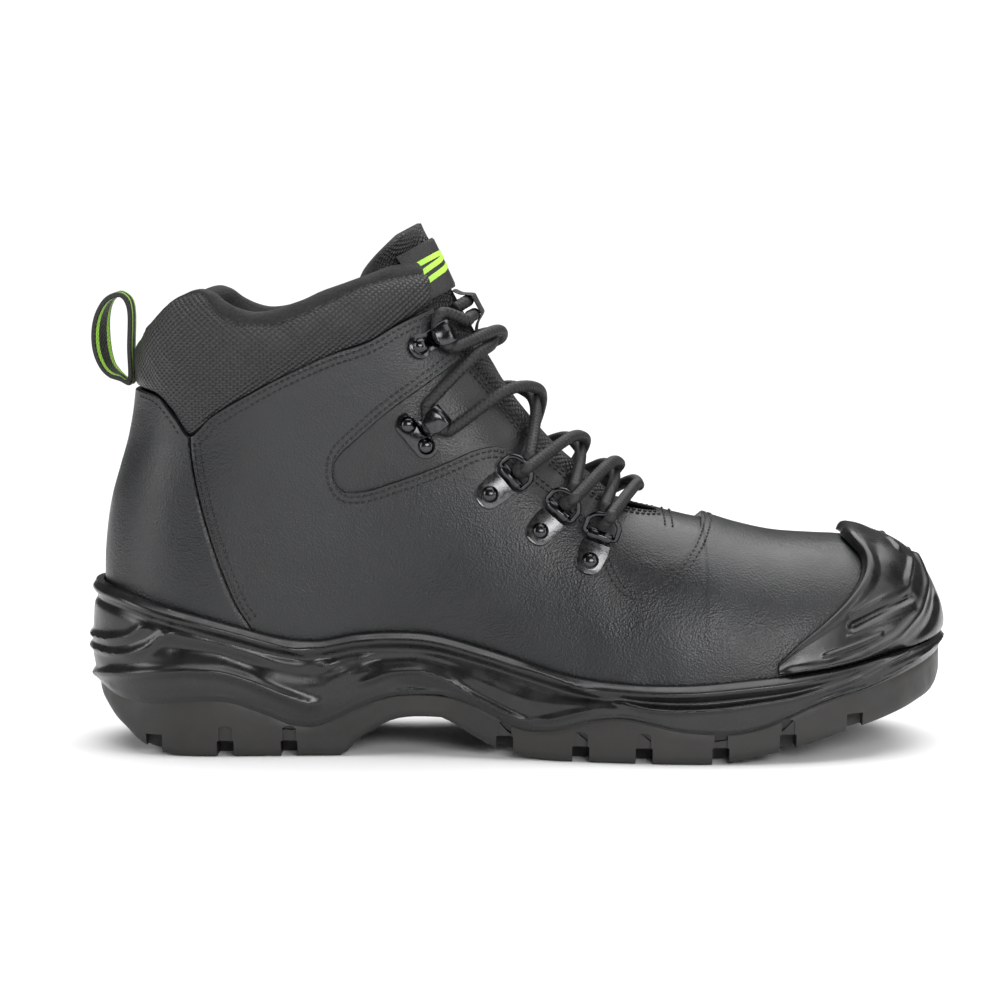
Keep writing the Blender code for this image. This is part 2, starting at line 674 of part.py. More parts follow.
CAP_HEART = np.array([85.0, 2.0, 25.0])
CAP_EDGE = smooth([(0, 59), (17, 58), (30, 52), (36, 45), (42, 40), (50, 35), (58.5, 30), (68, 24.5), (81, 16),
                   (88, 9.5)])


def toe_point(azimuth, elevation):
    """The last's surface seen from the middle of the toe, with both angles in degrees."""
    side, lift = np.radians(azimuth), np.radians(elevation)
    direction = np.stack([np.cos(lift) * np.cos(side), np.cos(lift) * np.sin(side), np.sin(lift)], -1)
    return cast(CAP_HEART, direction)


def rim_elevation(azimuth):
    """The elevation at which the toe's surface meets the midsole's rim."""
    low, high = np.full(len(azimuth), -15.0), np.full(len(azimuth), 40.0)
    for _ in range(20):
        middle = (low + high) / 2
        p = toe_point(azimuth, middle)
        below = p[:, 2] < RIM(p[:, 0]) + 0.6
        low, high = np.where(below, middle, low), np.where(below, high, middle)
    return high


def scuff_cap():
    azimuth = np.linspace(-87, 87, 25)
    low = rim_elevation(azimuth)
    high = np.maximum(CAP_EDGE(np.abs(azimuth)), low + 2)
    share = np.array([0, 0.25, 0.5, 0.75, 0.93, 1])
    elevation = low[:, None] + (high - low)[:, None] * share
    surface = toe_point(np.repeat(azimuth[:, None], len(share), axis=1), elevation)
    bulk = np.array([3.0, 3.6, 4.0, 4.2, 3.6, 1.5]) * (1 - 0.45 * np.abs(azimuth[:, None] / 90) ** 2)
    outer, inner = offset(surface, bulk + 0.5), offset(surface, np.full(bulk.shape, 1.2))
    rings = np.concatenate([outer, inner[:, ::-1]], axis=1)
    loft("scuff_cap", rings, "sole")


# The tongue


def tongue_frame(share):
    """The ridge point at a share of the tongue's length and the outward direction there."""
    run = smooth([(0, 54), (0.25, 27), (0.45, 8), (0.62, -8), (0.8, -22), (1, -35)])
    x = run(share)
    ridge = np.stack([x, CENTRE(x), RIDGE(x)], -1)
    ahead = np.stack([x + 0.5, CENTRE(x), RIDGE(x + 0.5)], -1)
    along = ahead - ridge
    out = np.stack([-along[..., 2], 0 * x, along[..., 0]], -1)
    return ridge, out / np.linalg.norm(out, axis=-1, keepdims=True)


def tongue_surface(share, turn):
    """Points of the last under the tongue: turn runs from -1, lateral, to 1, medial."""
    ridge, out = tongue_frame(share)
    spread = np.radians(smooth([(0, 36), (0.3, 44), (0.6, 52), (0.8, 68), (1, 82)])(share)) * turn
    heart = ridge - out * 32
    direction = out * np.cos(spread)[..., None]
    direction[..., 1] += np.sin(spread)
    return cast(heart, direction / np.linalg.norm(direction, axis=-1, keepdims=True))


def eased(share):
    share = np.clip(share, 0, 1)
    return share * share * (3 - 2 * share)


TONGUE_CROWN = smooth([(0, -3.4), (0.3, -2.4), (0.6, -1.8), (0.75, -1.6), (0.88, -0.8), (1, -0.4)])


def tongue_depth(p, share):
    """How far under the last the tongue's face lies: deep under the facings and the collar."""
    x, z = p[..., 0], p[..., 2]
    breadth = np.abs(p[..., 1] - CENTRE(x))
    beside_facing = eased((z - LACING_EDGE(x)) / 5.5) * eased((46 - x) / 12)
    beside_collar = np.maximum(eased((15.5 - breadth) / 8), eased((z - COLLAR_TOP(x) - 3.5) / 8))
    high = eased((z - 146) / 9)
    clear = beside_facing * (1 - high) + beside_collar * high
    under_collar = -1.6 - 9.4 * collar_share(x) - 1.2
    tucked = -6.8 + np.minimum(under_collar + 6.8, 0) * eased((z - 138) / 12)
    return tucked + (TONGUE_CROWN(share) - tucked) * clear


def collar_share(x):
    """How much of its full padding the collar has: it thins towards its front edges."""
    return 0.45 + 0.55 * np.clip((-31 - x) / 34, 0, 1)


def tongue_layers():
    rows, columns = 12, 11
    share = np.repeat(np.linspace(0, 1, rows)[:, None], columns, axis=1)
    turn = np.repeat(np.linspace(-1, 1, columns)[None, :], rows, axis=0)
    length = 1 - 0.07 * np.abs(turn) ** 2.5
    surface = tongue_surface(share * length, turn)
    face = tongue_depth(surface, share)
    pad = smooth([(0, 2.0), (0.3, 3.2), (0.75, 5), (1, 5.5)])(share) * (1 - 0.45 * np.abs(turn) ** 3)
    sheets = [("tongue_cover", 0, 1.0, "mesh_fabric"), ("tongue_foam", 1.5, None, "foam"),
              ("tongue_lining", None, 0.8, "lining")]
    for name, start, thick, slot in sheets:
        top = face - (start if start is not None else 2.0 + pad)
        bottom = top - (thick if thick is not None else pad)
        add(name, *slab(surface, top, bottom), slot)


def slab(surface, top, bottom):
    """A closed shell between two distances from a grid of points."""
    outer, inner = offset(surface, top), offset(surface, bottom)
    faces = [half for a, b, c, d in grid_faces(*surface.shape[:2]) for half in ((a, b, c), (a, c, d))]
    return thicken(outer.reshape(-1, 3), inner.reshape(-1, 3), faces)


def gusset(name, side):
    """The thin leather fold that joins the tongue's edge to the lining."""
    share = np.repeat(np.linspace(0.02, 0.6, 8)[:, None], 3, axis=1)
    turn = np.repeat(np.array([[1.07, 1.25, 1.45]]), 8, axis=0) * side
    surface = tongue_surface(share, turn)
    add(name, *slab(surface, np.full(share.shape, -6.5), np.full(share.shape, -7.3)), "leather")


# Pieces on the tongue's face: start and end along it, half their turn round it, height and thickness
LABEL_PATCH = (0.825, 0.935, 0.4, 2.9, 0.8)
KEEPER_BAND = (0.7, 0.81, 0.2, 0.4, 0.9)
KEEPER_RISE = 5.6


def tongue_patch(name, place, slot, rise_between=0.0):
    """A piece sewn to the tongue's face, or a band that stands clear of it between its two seams."""
    start, end, half_turn, height, thick = place
    rows = np.array([0, 0.14, 0.3, 0.7, 0.86, 1])
    share = np.repeat((start + (end - start) * rows)[:, None], 5, axis=1)
    turn = np.repeat(np.linspace(-half_turn, half_turn, 5)[None, :], len(rows), axis=0)
    surface = tongue_surface(share, turn)
    arch = np.array([0, 0.35, 1, 1, 0.35, 0])[:, None] * rise_between
    lift = tongue_depth(surface, share) + height + arch
    add(name, *slab(surface, lift + thick, lift), slot)


# Metal fittings


def seat(rivet, end, side, depth):
    """A frame on the upper: origin at the rivet, t towards the lacing, b towards the toe, n outward."""
    places = []
    for x, z in (rivet, end):
        p = np.array([x, float(CENTRE(x)) + side * float(half_breadth(np.array(x), np.array(z))), z])
        places.append(p)
    n = outward(places[0])
    t = places[1] - places[0]
    t = t - n * (t @ n)
    t = t / np.linalg.norm(t)
    b = np.cross(n, t)
    if b[0] - b[2] < 0:
        b = -b
    return places[0] + n * depth, t, b, n


def placed(frame, local):
    """Points given as (t, b, n) in a frame."""
    origin, t, b, n = frame
    local = np.array(local, float)
    return origin + local[..., :1] * t + local[..., 1:2] * b + local[..., 2:3] * n


def rivet(name, frame, at=(0, 0), base=PLATE + 0.1):
    """A domed rivet head standing on its plate."""
    profile = [(2.9, 0.0), (2.9, 0.5), (2.1, 1.5), (0.8, 2.0)]
    rings = []
    for radius, height in profile:
        turn = np.linspace(0, 2 * np.pi, 10, endpoint=False)
        rings.append(placed(frame, np.stack([at[0] + radius * np.cos(turn), at[1] + radius * np.sin(turn),
                                             np.full(10, base + height)], -1)))
    loft(name, rings, "metal")


def ring_clip(name, frame, bar):
    """A rounded plate under the rivet, curled round the ring's bar at its end."""
    stations = [(-4.6, 2.2), (-3.4, 4.0), (0.0, 4.8), (4.0, 5.2), (bar - 2.2, 4.4)]
    low = 0.1
    rings = [[(t, -w, low), (t, w, low), (t, w, low + PLATE), (t, -w, low + PLATE)] for t, w in stations]
    height = low + KNUCKLE
    inner = KNUCKLE - 0.65
    for turn in np.radians(np.linspace(-90, 170, 8)):
        c, s = math.cos(turn), math.sin(turn)
        outer_end = (bar + KNUCKLE * c, height + KNUCKLE * s)
        inner_end = (bar + inner * c, height + inner * s)
        rings.append([(outer_end[0], -4.2, outer_end[1]), (outer_end[0], 4.2, outer_end[1]),
                      (inner_end[0], 4.2, inner_end[1]), (inner_end[0], -4.2, inner_end[1])])
    loft(name, [placed(frame, ring) for ring in rings], "metal")


def ring_path(bar):
    """The D-ring's wire: its bar's middle, then round the loop, in a clip's (t, b, n)."""
    reach = RING_REACH - RING_HALF + 1.2
    path = [(0, -RING_HALF + 1.2), (0, RING_HALF - 1.2), (0.9, RING_HALF)]
    path += [(reach + (RING_REACH - reach) * math.sin(a), RING_HALF * math.cos(a))
             for a in np.radians([15, 50, 90, 130, 165])]
    path += [(0.9, -RING_HALF)]
    cos, sin = math.cos(RING_TILT), math.sin(RING_TILT)
    return [(bar + u * cos, v, 0.1 + KNUCKLE + u * sin) for u, v in path]


def wire(points, radius, sides, up):
    """Rings of a wire of round section along a closed path that lies in a plane with the normal up."""
    points = np.array(points)
    ahead = np.roll(points, -1, axis=0) - points
    ahead /= np.linalg.norm(ahead, axis=1, keepdims=True)
    along = ahead + np.roll(ahead, 1, axis=0)
    along /= np.linalg.norm(along, axis=1, keepdims=True)
    rings = []
    for p, direction, step in zip(points, along, ahead):
        side = np.cross(direction, up)
        mitre = 1 / max(0.6, float(direction @ step))
        turn = np.linspace(0, 2 * np.pi, sides, endpoint=False) + math.pi / sides
        rings.append([p + radius * (math.cos(a) * up + mitre * math.sin(a) * side) for a in turn])
    return rings


def d_ring(name, frame, bar):
    local = ring_path(bar)
    points = placed(frame, local)
    up = placed(frame, [(-math.sin(RING_TILT), 0, math.cos(RING_TILT))])[0] - frame[0]
    middle = placed(frame, [(bar, 0, 0.1 + KNUCKLE)])[0]
    loft(name, wire(points, RING_WIRE, 6, up), "metal", pivot=middle, caps=False)


def strip_ring(t, width, low, high):
    """The section of a flat strip at t, between two heights."""
    return [(t, -width, low), (t, width, low), (t, width, high), (t, -width, high)]


def hook_rings(narrow):
    """The lace hook's strip: rivet lobes, neck, bend towards the lacing and the flap back over them."""
    plate = [(-10.9, 3.0), (-9.6, 6.8), (-7, 8.1), (-4.2, 7.6), (-2.2, 4.8), (0, 3.5), (2.2, 3.4)]
    if narrow:
        plate = [(-11, 1.6), (-10, 3.4), (-8, 4.4), (-6, 4.4), (-3.4, 3.4), (0, 3.4), (2.2, 3.4)]
    low = SEAT_GAP
    rings = [strip_ring(t, width, low, low + PLATE) for t, width in plate]
    middle = low + HOOK_BEND
    inner = HOOK_BEND - PLATE
    for turn in np.radians([-60, -25, 10, 45, 80]):
        c, s = math.cos(turn), math.sin(turn)
        outside = (HOOK_BEND_T + HOOK_BEND * c, middle + HOOK_BEND * s)
        inside = (HOOK_BEND_T + inner * c, middle + inner * s)
        rings.append([(outside[0], -HOOK_NECK, outside[1]), (outside[0], HOOK_NECK, outside[1]),
                      (inside[0], HOOK_NECK, inside[1]), (inside[0], -HOOK_NECK, inside[1])])
    top = middle + HOOK_BEND
    for t, width, sag in ((0.5, 3.1, 0.0), (-1.6, 2.3, 0.1), (-2.8, 1.1, 0.2)):
        flap = strip_ring(t, width, top - PLATE - sag, top - sag)
        rings.append([flap[3], flap[2], flap[1], flap[0]])
    return rings


def lace_hook(name, frame, narrow):
    loft(name, [placed(frame, ring) for ring in hook_rings(narrow)], "metal")


# Every fitting as (rivet x and z, far end x and z, depth of its seat)
RINGS = {"upper": ((-10.7, 90.5), (-3.2, 96.5)), "middle": ((6.6, 77.9), (12.9, 84.2)),
         "lower": ((23.8, 67.9), (27.2, 75.8))}
HOOKS = {"lower": ((-30.5, 115.2), (-23.7, 121.1), -2.2, False),
         "upper": ((-29.5, 144.2), (-21, 148.6), 0.0, True)}
SIDES = {"lateral": -1, "medial": 1}
BAR = 9.3
LACE_TURN = 3.8


def ring_frame(key, side):
    return seat(*RINGS[key], side, 0.1)


def hook_frame(key, side):
    rivet_at, end, depth, _ = HOOKS[key]
    return seat(rivet_at, end, side, depth + 0.1)


def fittings():
    for side_name, side in SIDES.items():
        for key in RINGS:
            frame = ring_frame(key, side)
            ring_clip(f"d_ring_clip_{side_name}_{key}", frame, BAR)
            d_ring(f"d_ring_{side_name}_{key}", frame, BAR)
            rivet(f"d_ring_rivet_{side_name}_{key}", frame, base=PLATE + 0.4)
        for key, (_, _, _, narrow) in HOOKS.items():
            frame = hook_frame(key, side)
            lace_hook(f"lace_hook_{side_name}_{key}", frame, narrow)
            if narrow:
                rivet(f"hook_rivet_{side_name}_{key}", frame, at=(-7.2, 0), base=PLATE + 0.4)
            else:
                rivet(f"hook_rivet_{side_name}_{key}_1", frame, at=(-6.6, 4.4), base=PLATE + 0.4)
                rivet(f"hook_rivet_{side_name}_{key}_2", frame, at=(-6.6, -4.4), base=PLATE + 0.4)


# The lace


def through_ring(key, side):
    """The lace's turn round the far end of a ring: from over it, down through it and out below."""
    frame = ring_frame(key, side)
    cos, sin = math.cos(RING_TILT), math.sin(RING_TILT)
    path = []
    for turn, shift in zip((50, 90, 135, 180, 225, 270, 310), (1.8, 1.5, 0.8, 0.0, -0.8, -1.5, -1.8)):
        a = math.radians(turn)
        u = RING_REACH + LACE_TURN * math.cos(a)
        v = LACE_TURN * math.sin(a)
        path.append((BAR + u * cos - v * sin, shift, 0.1 + KNUCKLE + u * sin + v * cos))
    return placed(frame, path)


def round_hook(key, side):
    """The lace's turn behind the bend of a hook, from its toe side to the other."""
    frame = hook_frame(key, side)
    return placed(frame, [(6.0, 6.3, 3.4), (2.4, 5.2, 3.3), (0.4, 2.0, 3.25), (0.4, -2.0, 3.25), (2.4, -5.2, 3.3),
                          (6.0, -6.3, 3.4)])


def over_ridge(start, end, forward, lifts, shares=(0.25, 0.5, 0.75)):
    """The lace's way over the instep, with its height over the last at the start, middle and end."""
    first, middle, last = lifts
    bend = 2 * middle - (first + last) / 2
    angles = []
    for p in (start, end):
        angle = float(angle_at(np.array(p[0]), np.array(p[2])))
        angles.append(angle if p[1] < CENTRE(p[0]) else math.pi - angle)
    path = []
    for share in shares:
        x = start[0] + (end[0] - start[0]) * share + forward * math.sin(math.pi * share)
        surface = hull(np.array(x), np.array(angles[0] + (angles[1] - angles[0]) * share))
        lift = first * (1 - share) ** 2 + 2 * bend * share * (1 - share) + last * share**2
        path.append(offset(surface, lift))
    return path


LACE_ORDER = (("hook", "upper"), ("hook", "lower"), ("ring", "upper"), ("ring", "middle"), ("ring", "lower"))
FORWARD = (13, 9, 7, 7)
OVER, UNDER = 6.4, 2.6
ABOVE_RING, BELOW_RING, AT_HOOK = 9.4, 3.4, 4.8


def lace_leg(side):
    """One end of the lace: from under the keeper, zigzagging down to the lowest ring."""
    leg = list(lace_tail(side))
    turns = []
    for step, (kind, key) in enumerate(LACE_ORDER):
        here = side if step % 2 == 0 else -side
        turn = through_ring(key, here) if kind == "ring" else round_hook(key, here)
        turns.append(turn[::-1])
    for step, turn in enumerate(turns):
        leg += list(turn)
        if step == len(turns) - 1:
            break
        kind, below = LACE_ORDER[step][0], LACE_ORDER[step + 1][0]
        middle = OVER if (step + (side > 0)) % 2 == 0 else UNDER
        lifts = (ABOVE_RING if kind == "ring" else AT_HOOK, middle, BELOW_RING if below == "ring" else AT_HOOK)
        leg += over_ridge(turn[-1], turns[step + 1][0], FORWARD[step], lifts)
    return leg


def lace_route():
    """Both ends of the lace, joined by the bar between the lowest rings."""
    first, second = lace_leg(-1), lace_leg(1)
    bar = over_ridge(first[-1], second[-1], 9, (ABOVE_RING, 3.0, ABOVE_RING))
    return np.array(first + bar + second[::-1])


def lace_tail(side):
    """The lace's end, under the keeper and over the tongue to the first hook."""
    share = 0.737 if side < 0 else 0.772
    turns = np.array([-0.36, -0.18, 0.0, 0.18, 0.36, 0.48]) * side
    surface = tongue_surface(np.full(6, share), turns)
    clear = LACE_RADIUS + np.array([3.2, 1.8, 1.4, 2.0, 3.6, 4.8])
    return offset(surface, tongue_depth(surface, np.full(6, share)) + clear)


def lace():
    route = lace_route()
    curve = bpy.data.curves.new("lace", "CURVE")
    curve.dimensions = "3D"
    curve.bevel_depth = LACE_RADIUS * MM
    curve.bevel_resolution = 2
    curve.use_fill_caps = True
    spline = curve.splines.new("POLY")
    spline.points.add(len(route) - 1)
    for point, place in zip(spline.points, route):
        point.co = (*((place - [0, SOLE_MIDDLE_Y, 0]) * MM), 1)
    curve.materials.append(MATERIALS["lace"])
    made = bpy.data.objects.new("lace", curve)
    bpy.context.collection.objects.link(made)


# The pull loop


def pull_loop():
    """A band of webbing stitched at the top of the heel, standing as a loop behind it."""
    outer = [(-136.9, 127.5), (-141.5, 128.6), (-146, 132.2), (-148.6, 138.5), (-149.2, 146), (-148.2, 152.5),
             (-145.6, 157.6), (-141.6, 159.8), (-137.8, 157.6), (-136.5, 152), (-136.8, 140)]
    inner = [(-138.3, 129.4), (-141.2, 130.3), (-144.9, 133.2), (-147, 138.8), (-147.5, 146), (-146.6, 151.9),
             (-144.5, 156.2), (-141.6, 157.9), (-139.3, 156.4), (-138.1, 151.6), (-138.4, 140)]
    half = 6.5
    rings = []
    for (ox, oz), (ix, iz) in zip(outer, inner):
        rings.append([(ox, -half, oz), (ox, half, oz), (ix, half, iz), (ix, -half, iz)])
    loft("pull_loop", rings, "webbing", pivot=(-138.2, 0, 128.4), caps=False)


def clear_scene():
    for old in list(bpy.data.objects):
        bpy.data.objects.remove(old)


def main():
    global SOLE_MIDDLE_Y
    clear_scene()
    outline = sole_plan(SOLE_HEEL_X, SOLE_TOE_X, 0.7)
    SOLE_MIDDLE_Y = float((outline[:, 1].min() + outline[:, 1].max()) / 2)
    material("rubber", (0.03, 0.028, 0.026), 0.62)
    material("sole", (0.014, 0.014, 0.015), 0.4)
    material("leather", (0.018, 0.018, 0.02), 0.38)
    material("mesh_fabric", (0.02, 0.02, 0.021), 0.75)
    material("lining", (0.03, 0.03, 0.031), 0.9)
    material("foam", (0.25, 0.25, 0.24), 0.95)
    material("board", (0.35, 0.3, 0.22), 0.85)
    material("steel", (0.5, 0.5, 0.52), 0.35, 1.0)
    material("metal", (0.03, 0.03, 0.033), 0.2, 0.9)
    material("webbing", (0.02, 0.02, 0.02), 0.8)
    material("lace", (0.012, 0.012, 0.013), 0.75)
    material("label", (0.02, 0.02, 0.02), 0.6)
    outsole()
    midsole()
    sole_board("steel_midsole_plate", -4.1, -3.3, 4.0, "steel")
    sole_board("insole_board", -3.0, -1.0, 1.5, "board")
    sole_board("footbed", -0.4, 4.2, 8.4, "foam", pivot=(136.0, 7.0, 30.0))
    vamp_and_quarters()
    facing()
    heel_cover()
    heel_stiffener()
    steel_toe_cap()
    lining()
    collar()
    scuff_cap()
    tongue_layers()
    gusset("tongue_gusset_lateral", -1)
    gusset("tongue_gusset_medial", 1)
    tongue_patch("tongue_label", LABEL_PATCH, "label")
    tongue_patch("lace_keeper", KEEPER_BAND, "webbing", KEEPER_RISE)
    fittings()
    lace()
    pull_loop()


main()
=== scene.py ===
"""The looks of a steel toe work boot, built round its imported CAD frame.

Sizes here are in millimetres, in the last's own frame: toe towards +X, outer side towards -Y. `add` turns
them into metres in the CAD frame. The last, the seams and the seats of the fittings follow the same curves
as the CAD model, so every piece lies where its CAD solid does.
"""

import json
import math

import bmesh
import bpy
import numpy as np
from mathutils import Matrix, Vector

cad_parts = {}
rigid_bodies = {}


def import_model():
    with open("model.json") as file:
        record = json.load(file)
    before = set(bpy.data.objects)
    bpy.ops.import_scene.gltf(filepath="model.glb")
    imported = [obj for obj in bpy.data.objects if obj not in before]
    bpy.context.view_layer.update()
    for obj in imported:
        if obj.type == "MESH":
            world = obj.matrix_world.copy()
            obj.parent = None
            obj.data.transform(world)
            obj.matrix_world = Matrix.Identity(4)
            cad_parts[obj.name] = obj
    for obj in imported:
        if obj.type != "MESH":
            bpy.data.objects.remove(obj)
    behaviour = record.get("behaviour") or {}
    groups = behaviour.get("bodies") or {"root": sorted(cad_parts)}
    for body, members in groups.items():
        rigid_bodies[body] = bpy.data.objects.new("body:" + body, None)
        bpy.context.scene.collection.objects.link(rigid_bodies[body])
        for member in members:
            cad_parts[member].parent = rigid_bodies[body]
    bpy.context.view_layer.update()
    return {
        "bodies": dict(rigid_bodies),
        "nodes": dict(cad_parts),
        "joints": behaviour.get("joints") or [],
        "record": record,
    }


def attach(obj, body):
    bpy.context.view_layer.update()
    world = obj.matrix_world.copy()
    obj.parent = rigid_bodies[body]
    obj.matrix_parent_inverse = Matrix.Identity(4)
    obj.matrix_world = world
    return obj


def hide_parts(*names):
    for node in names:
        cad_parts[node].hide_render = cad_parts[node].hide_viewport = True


MM = 0.001
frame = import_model()

SOLE_HEEL_X = -152.3
SOLE_TOE_X = 152.3
UPPER_TOE_X = 148.0
TOE_START_X = 84.0
HEEL_ROUND = 48.0
SOLE_WALL = 3.9
ARCH_X = 65.0
THROAT_X = 48.5
PANEL_TIP_X = -64.5
STRIP_END_X = -20.6
QUARTER_BACK_X = -114.0
NOTCH_X = (-127.0, -102.0, -80.0, -5.5, 20.5, 42.0, 68.0, 91.0, 114.5)
LACE_RADIUS = 1.7
RING_WIRE = 0.9
RING_HALF = 5.8
RING_REACH = 8.0
RING_TILT = math.radians(35)
KNUCKLE = 1.9
PLATE = 0.9
RINGS = {"upper": ((-10.7, 90.5), (-3.2, 96.5)), "middle": ((6.6, 77.9), (12.9, 84.2)),
         "lower": ((23.8, 67.9), (27.2, 75.8))}
HOOKS = {"lower": ((-30.5, 115.2), (-23.7, 121.1), -2.2, False),
         "upper": ((-29.5, 144.2), (-21, 148.6), 0.0, True)}
SIDES = {"lateral": -1, "medial": 1}
BAR = 9.3
LACE_TURN = 3.8
LACE_ORDER = (("hook", "upper"), ("hook", "lower"), ("ring", "upper"), ("ring", "middle"), ("ring", "lower"))
FORWARD = (13, 9, 7, 7)
OVER, UNDER = 6.4, 2.6
ABOVE_RING, BELOW_RING, AT_HOOK = 9.4, 3.4, 4.8
CAP_HEART = np.array([85.0, 2.0, 25.0])


def smooth(points):
    """A smooth curve v(x) through the points, flat wherever they turn back."""
    px, pv = (np.array(column, float) for column in zip(*points))
    step = np.diff(px)
    slope = np.diff(pv) / step
    tangent = np.concatenate([[slope[0]], (slope[:-1] + slope[1:]) / 2, [slope[-1]]])
    turning = np.concatenate([[False], slope[:-1] * slope[1:] <= 0, [False]])
    tangent[turning] = 0.0

    def curve(x):
        x = np.clip(np.asarray(x, float), px[0], px[-1])
        i = np.clip(np.searchsorted(px, x) - 1, 0, len(step) - 1)
        t = (x - px[i]) / step[i]
        start = pv[i] * (1 + 2 * t) + tangent[i] * step[i] * t
        end = pv[i + 1] * (3 - 2 * t) - tangent[i + 1] * step[i] * (1 - t)
        return start * (1 - t) ** 2 + end * t**2

    return curve


# The last: instep ridge, feather edge, heel back, half-widths and the bend of its centre line
RIDGE = smooth([
    (-150, 430), (-100, 318), (-60, 235), (-40, 194), (-28, 171), (-21, 157.5), (-13, 143.5), (-6, 132),
    (4, 118.5), (14, 107.5), (25, 98.5), (36, 91), (47, 86), (58, 83), (66, 81.2), (76, 78), (90, 74.8),
    (104, 73.6), (115, 73), (124, 71.6), (131, 69), (137, 65), (141.5, 59.5), (144.5, 53.5), (146.5, 47.5),
    (148, 40),
])
BASE = smooth([(-150, 30), (-100, 28), (-43, 26), (-28, 26), (0, 21.5), (20, 17.5), (50, 15), (70, 15.3),
               (90, 18), (110, 24), (130, 29.5), (150, 33)])
RIM = smooth([(-150, 58.5), (-140, 56.6), (-126, 52.6), (-112, 49.2), (-97.5, 45.3), (-83, 41.3), (-71, 40.2),
              (-57, 42.5), (-43, 43.3), (-32, 42.8), (-12, 38), (8, 32), (18, 29.3), (30, 27.8), (45, 27),
              (60, 27.3), (75, 28.6), (90, 30), (110, 32.5), (130, 36), (150, 39)])
HEEL_BACK = smooth([(20, -145.5), (40, -147.3), (60, -147.4), (75, -146.6), (88, -144.6), (98, -141.8),
                    (108, -138.8), (118, -136.8), (126, -135.8), (134, -134.3), (145, -133.4), (154, -132.3),
                    (162, -129.4), (240, -100)])
FOOT = smooth([(-150, 34), (-120, 35.5), (-90, 34.8), (-60, 33.8), (-30, 34.8), (0, 39.5), (30, 45),
               (55, 48.5), (75, 49.3), (95, 48.8), (112, 48), (150, 47)])
FLARE = smooth([(20, -1.5), (50, 0), (90, 0.5), (110, 2), (130, 5), (150, 8.5), (170, 9.5), (240, 9.5)])
CENTRE = smooth([(-150, 0), (-60, 0.5), (-10, -1), (40, -2.2), (80, -0.5), (120, 4), (150, 8.5)])
BOXINESS = smooth([(-40, 2.0), (30, 2.05), (90, 2.35), (150, 2.5)])

# Edges of the leather pieces on the side of the boot
HEEL_SEAM = smooth([(28, -87), (44.6, -93.4), (51.6, -97.8), (61.4, -102.1), (73.5, -106.5), (85.5, -109.9),
                    (95.8, -112.3), (104.4, -113.6), (112, -114), (130, -114)])
COLLAR_SEAM = smooth([(-137, 126.6), (-132, 125.8), (-125.3, 123.5), (-119, 117), (-114, 111),
                      (-106.9, 117.4), (-95.1, 124.7), (-80.7, 132.4), (-65.4, 139), (-52.1, 143.7),
                      (-42.6, 149.2), (-30.3, 155)])
COLLAR_TOP = smooth([(-136, 147), (-131, 151), (-127.5, 155), (-122.5, 159), (-115, 161.8), (-110, 160.4),
                     (-104.4, 157), (-98.5, 154.4), (-92, 153.2), (-85, 154), (-80, 155.8), (-75, 157.6),
                     (-69, 160.4), (-61, 163.2), (-51, 166.5), (-42, 169.3), (-31, 170.6)])
LACING_EDGE = smooth([(-30.3, 154.6), (-20.6, 142), (-15.8, 136.4), (-7.1, 125.8), (1.6, 114.8),
                      (10.3, 105.2), (22.5, 94.8), (34.7, 88.2), (41, 86.2), (48.5, 84.9)])
PANEL_TOP = smooth([(-64.5, 100.5), (-62.5, 103.8), (-58.3, 107.8), (-45.2, 119.2), (-32, 128.7),
                    (-20.6, 137.2)])
VAMP_EDGE = smooth([(-64.5, 96), (-62.5, 92.8), (-59, 91.2), (-54, 91.6), (-46.4, 93.9), (-35, 97.8),
                    (-23.4, 102.5), (-15.7, 105.8), (-8.5, 107), (-2.3, 104.8), (3.3, 100.3), (8.5, 95.8),
                    (13.7, 91.7), (20.6, 85.6), (25.7, 80.9), (30, 75.5), (32.2, 68), (36, 61), (42.3, 58.7),
                    (48.7, 61.1), (55.2, 67.6), (60, 74), (63.5, 79.3), (65, 84)])
UNDERLAY_LOW = smooth([(-70, 98), (-66, 88.5), (-58, 85), (-46, 87.5), (-35, 91.5), (-23, 96.5), (-12, 99.5),
                       (-4, 98), (3, 93.5), (9, 88.5), (15, 84), (20, 79), (24, 72), (27, 65), (31, 57.5),
                       (37, 54), (44, 53), (52, 56.5), (60, 65), (69, 76)])
UNDERLAY_TOP = smooth([(-70, 101.5), (-66, 107), (-58, 115), (-45, 126.5), (-36, 134), (-30, 141), (-25, 144),
                       (-20.6, 142), (-15.8, 136.4), (-7.1, 125.8), (1.6, 114.8), (10.3, 105.2), (22.5, 94.8),
                       (34.7, 88.2), (41, 86.2), (48.5, 84.9)])

# The sole: its underside, and the dish inside the line where outsole meets midsole
TREAD = smooth([(-152, 22), (-149, 18), (-145.6, 14.9), (-141.5, 11), (-137.3, 8), (-133.2, 4.6), (-125, 1.2),
                (-117, 0), (-62, 0), (-57.3, 4.9), (-50.7, 9.3), (-43.5, 12.8), (-28.3, 13.8), (-21.8, 10.9),
                (-15.3, 7), (-7.8, 3.4), (3, 1), (16, 0), (62, 0), (73.2, 1.1), (88, 4), (100, 7),
                (112.4, 10.4), (125, 13.5), (137.5, 17.2), (149.2, 22.6), (152, 27)])
DISH = smooth([(-152, 23), (-145, 17.5), (-134, 9.5), (-122, 7.5), (-62, 7.5), (-43.5, 17.3), (-28.3, 18.3),
               (-8, 9.5), (10, 6.8), (60, 6), (88, 9.5), (112, 15.5), (137, 21.5), (150, 26)])


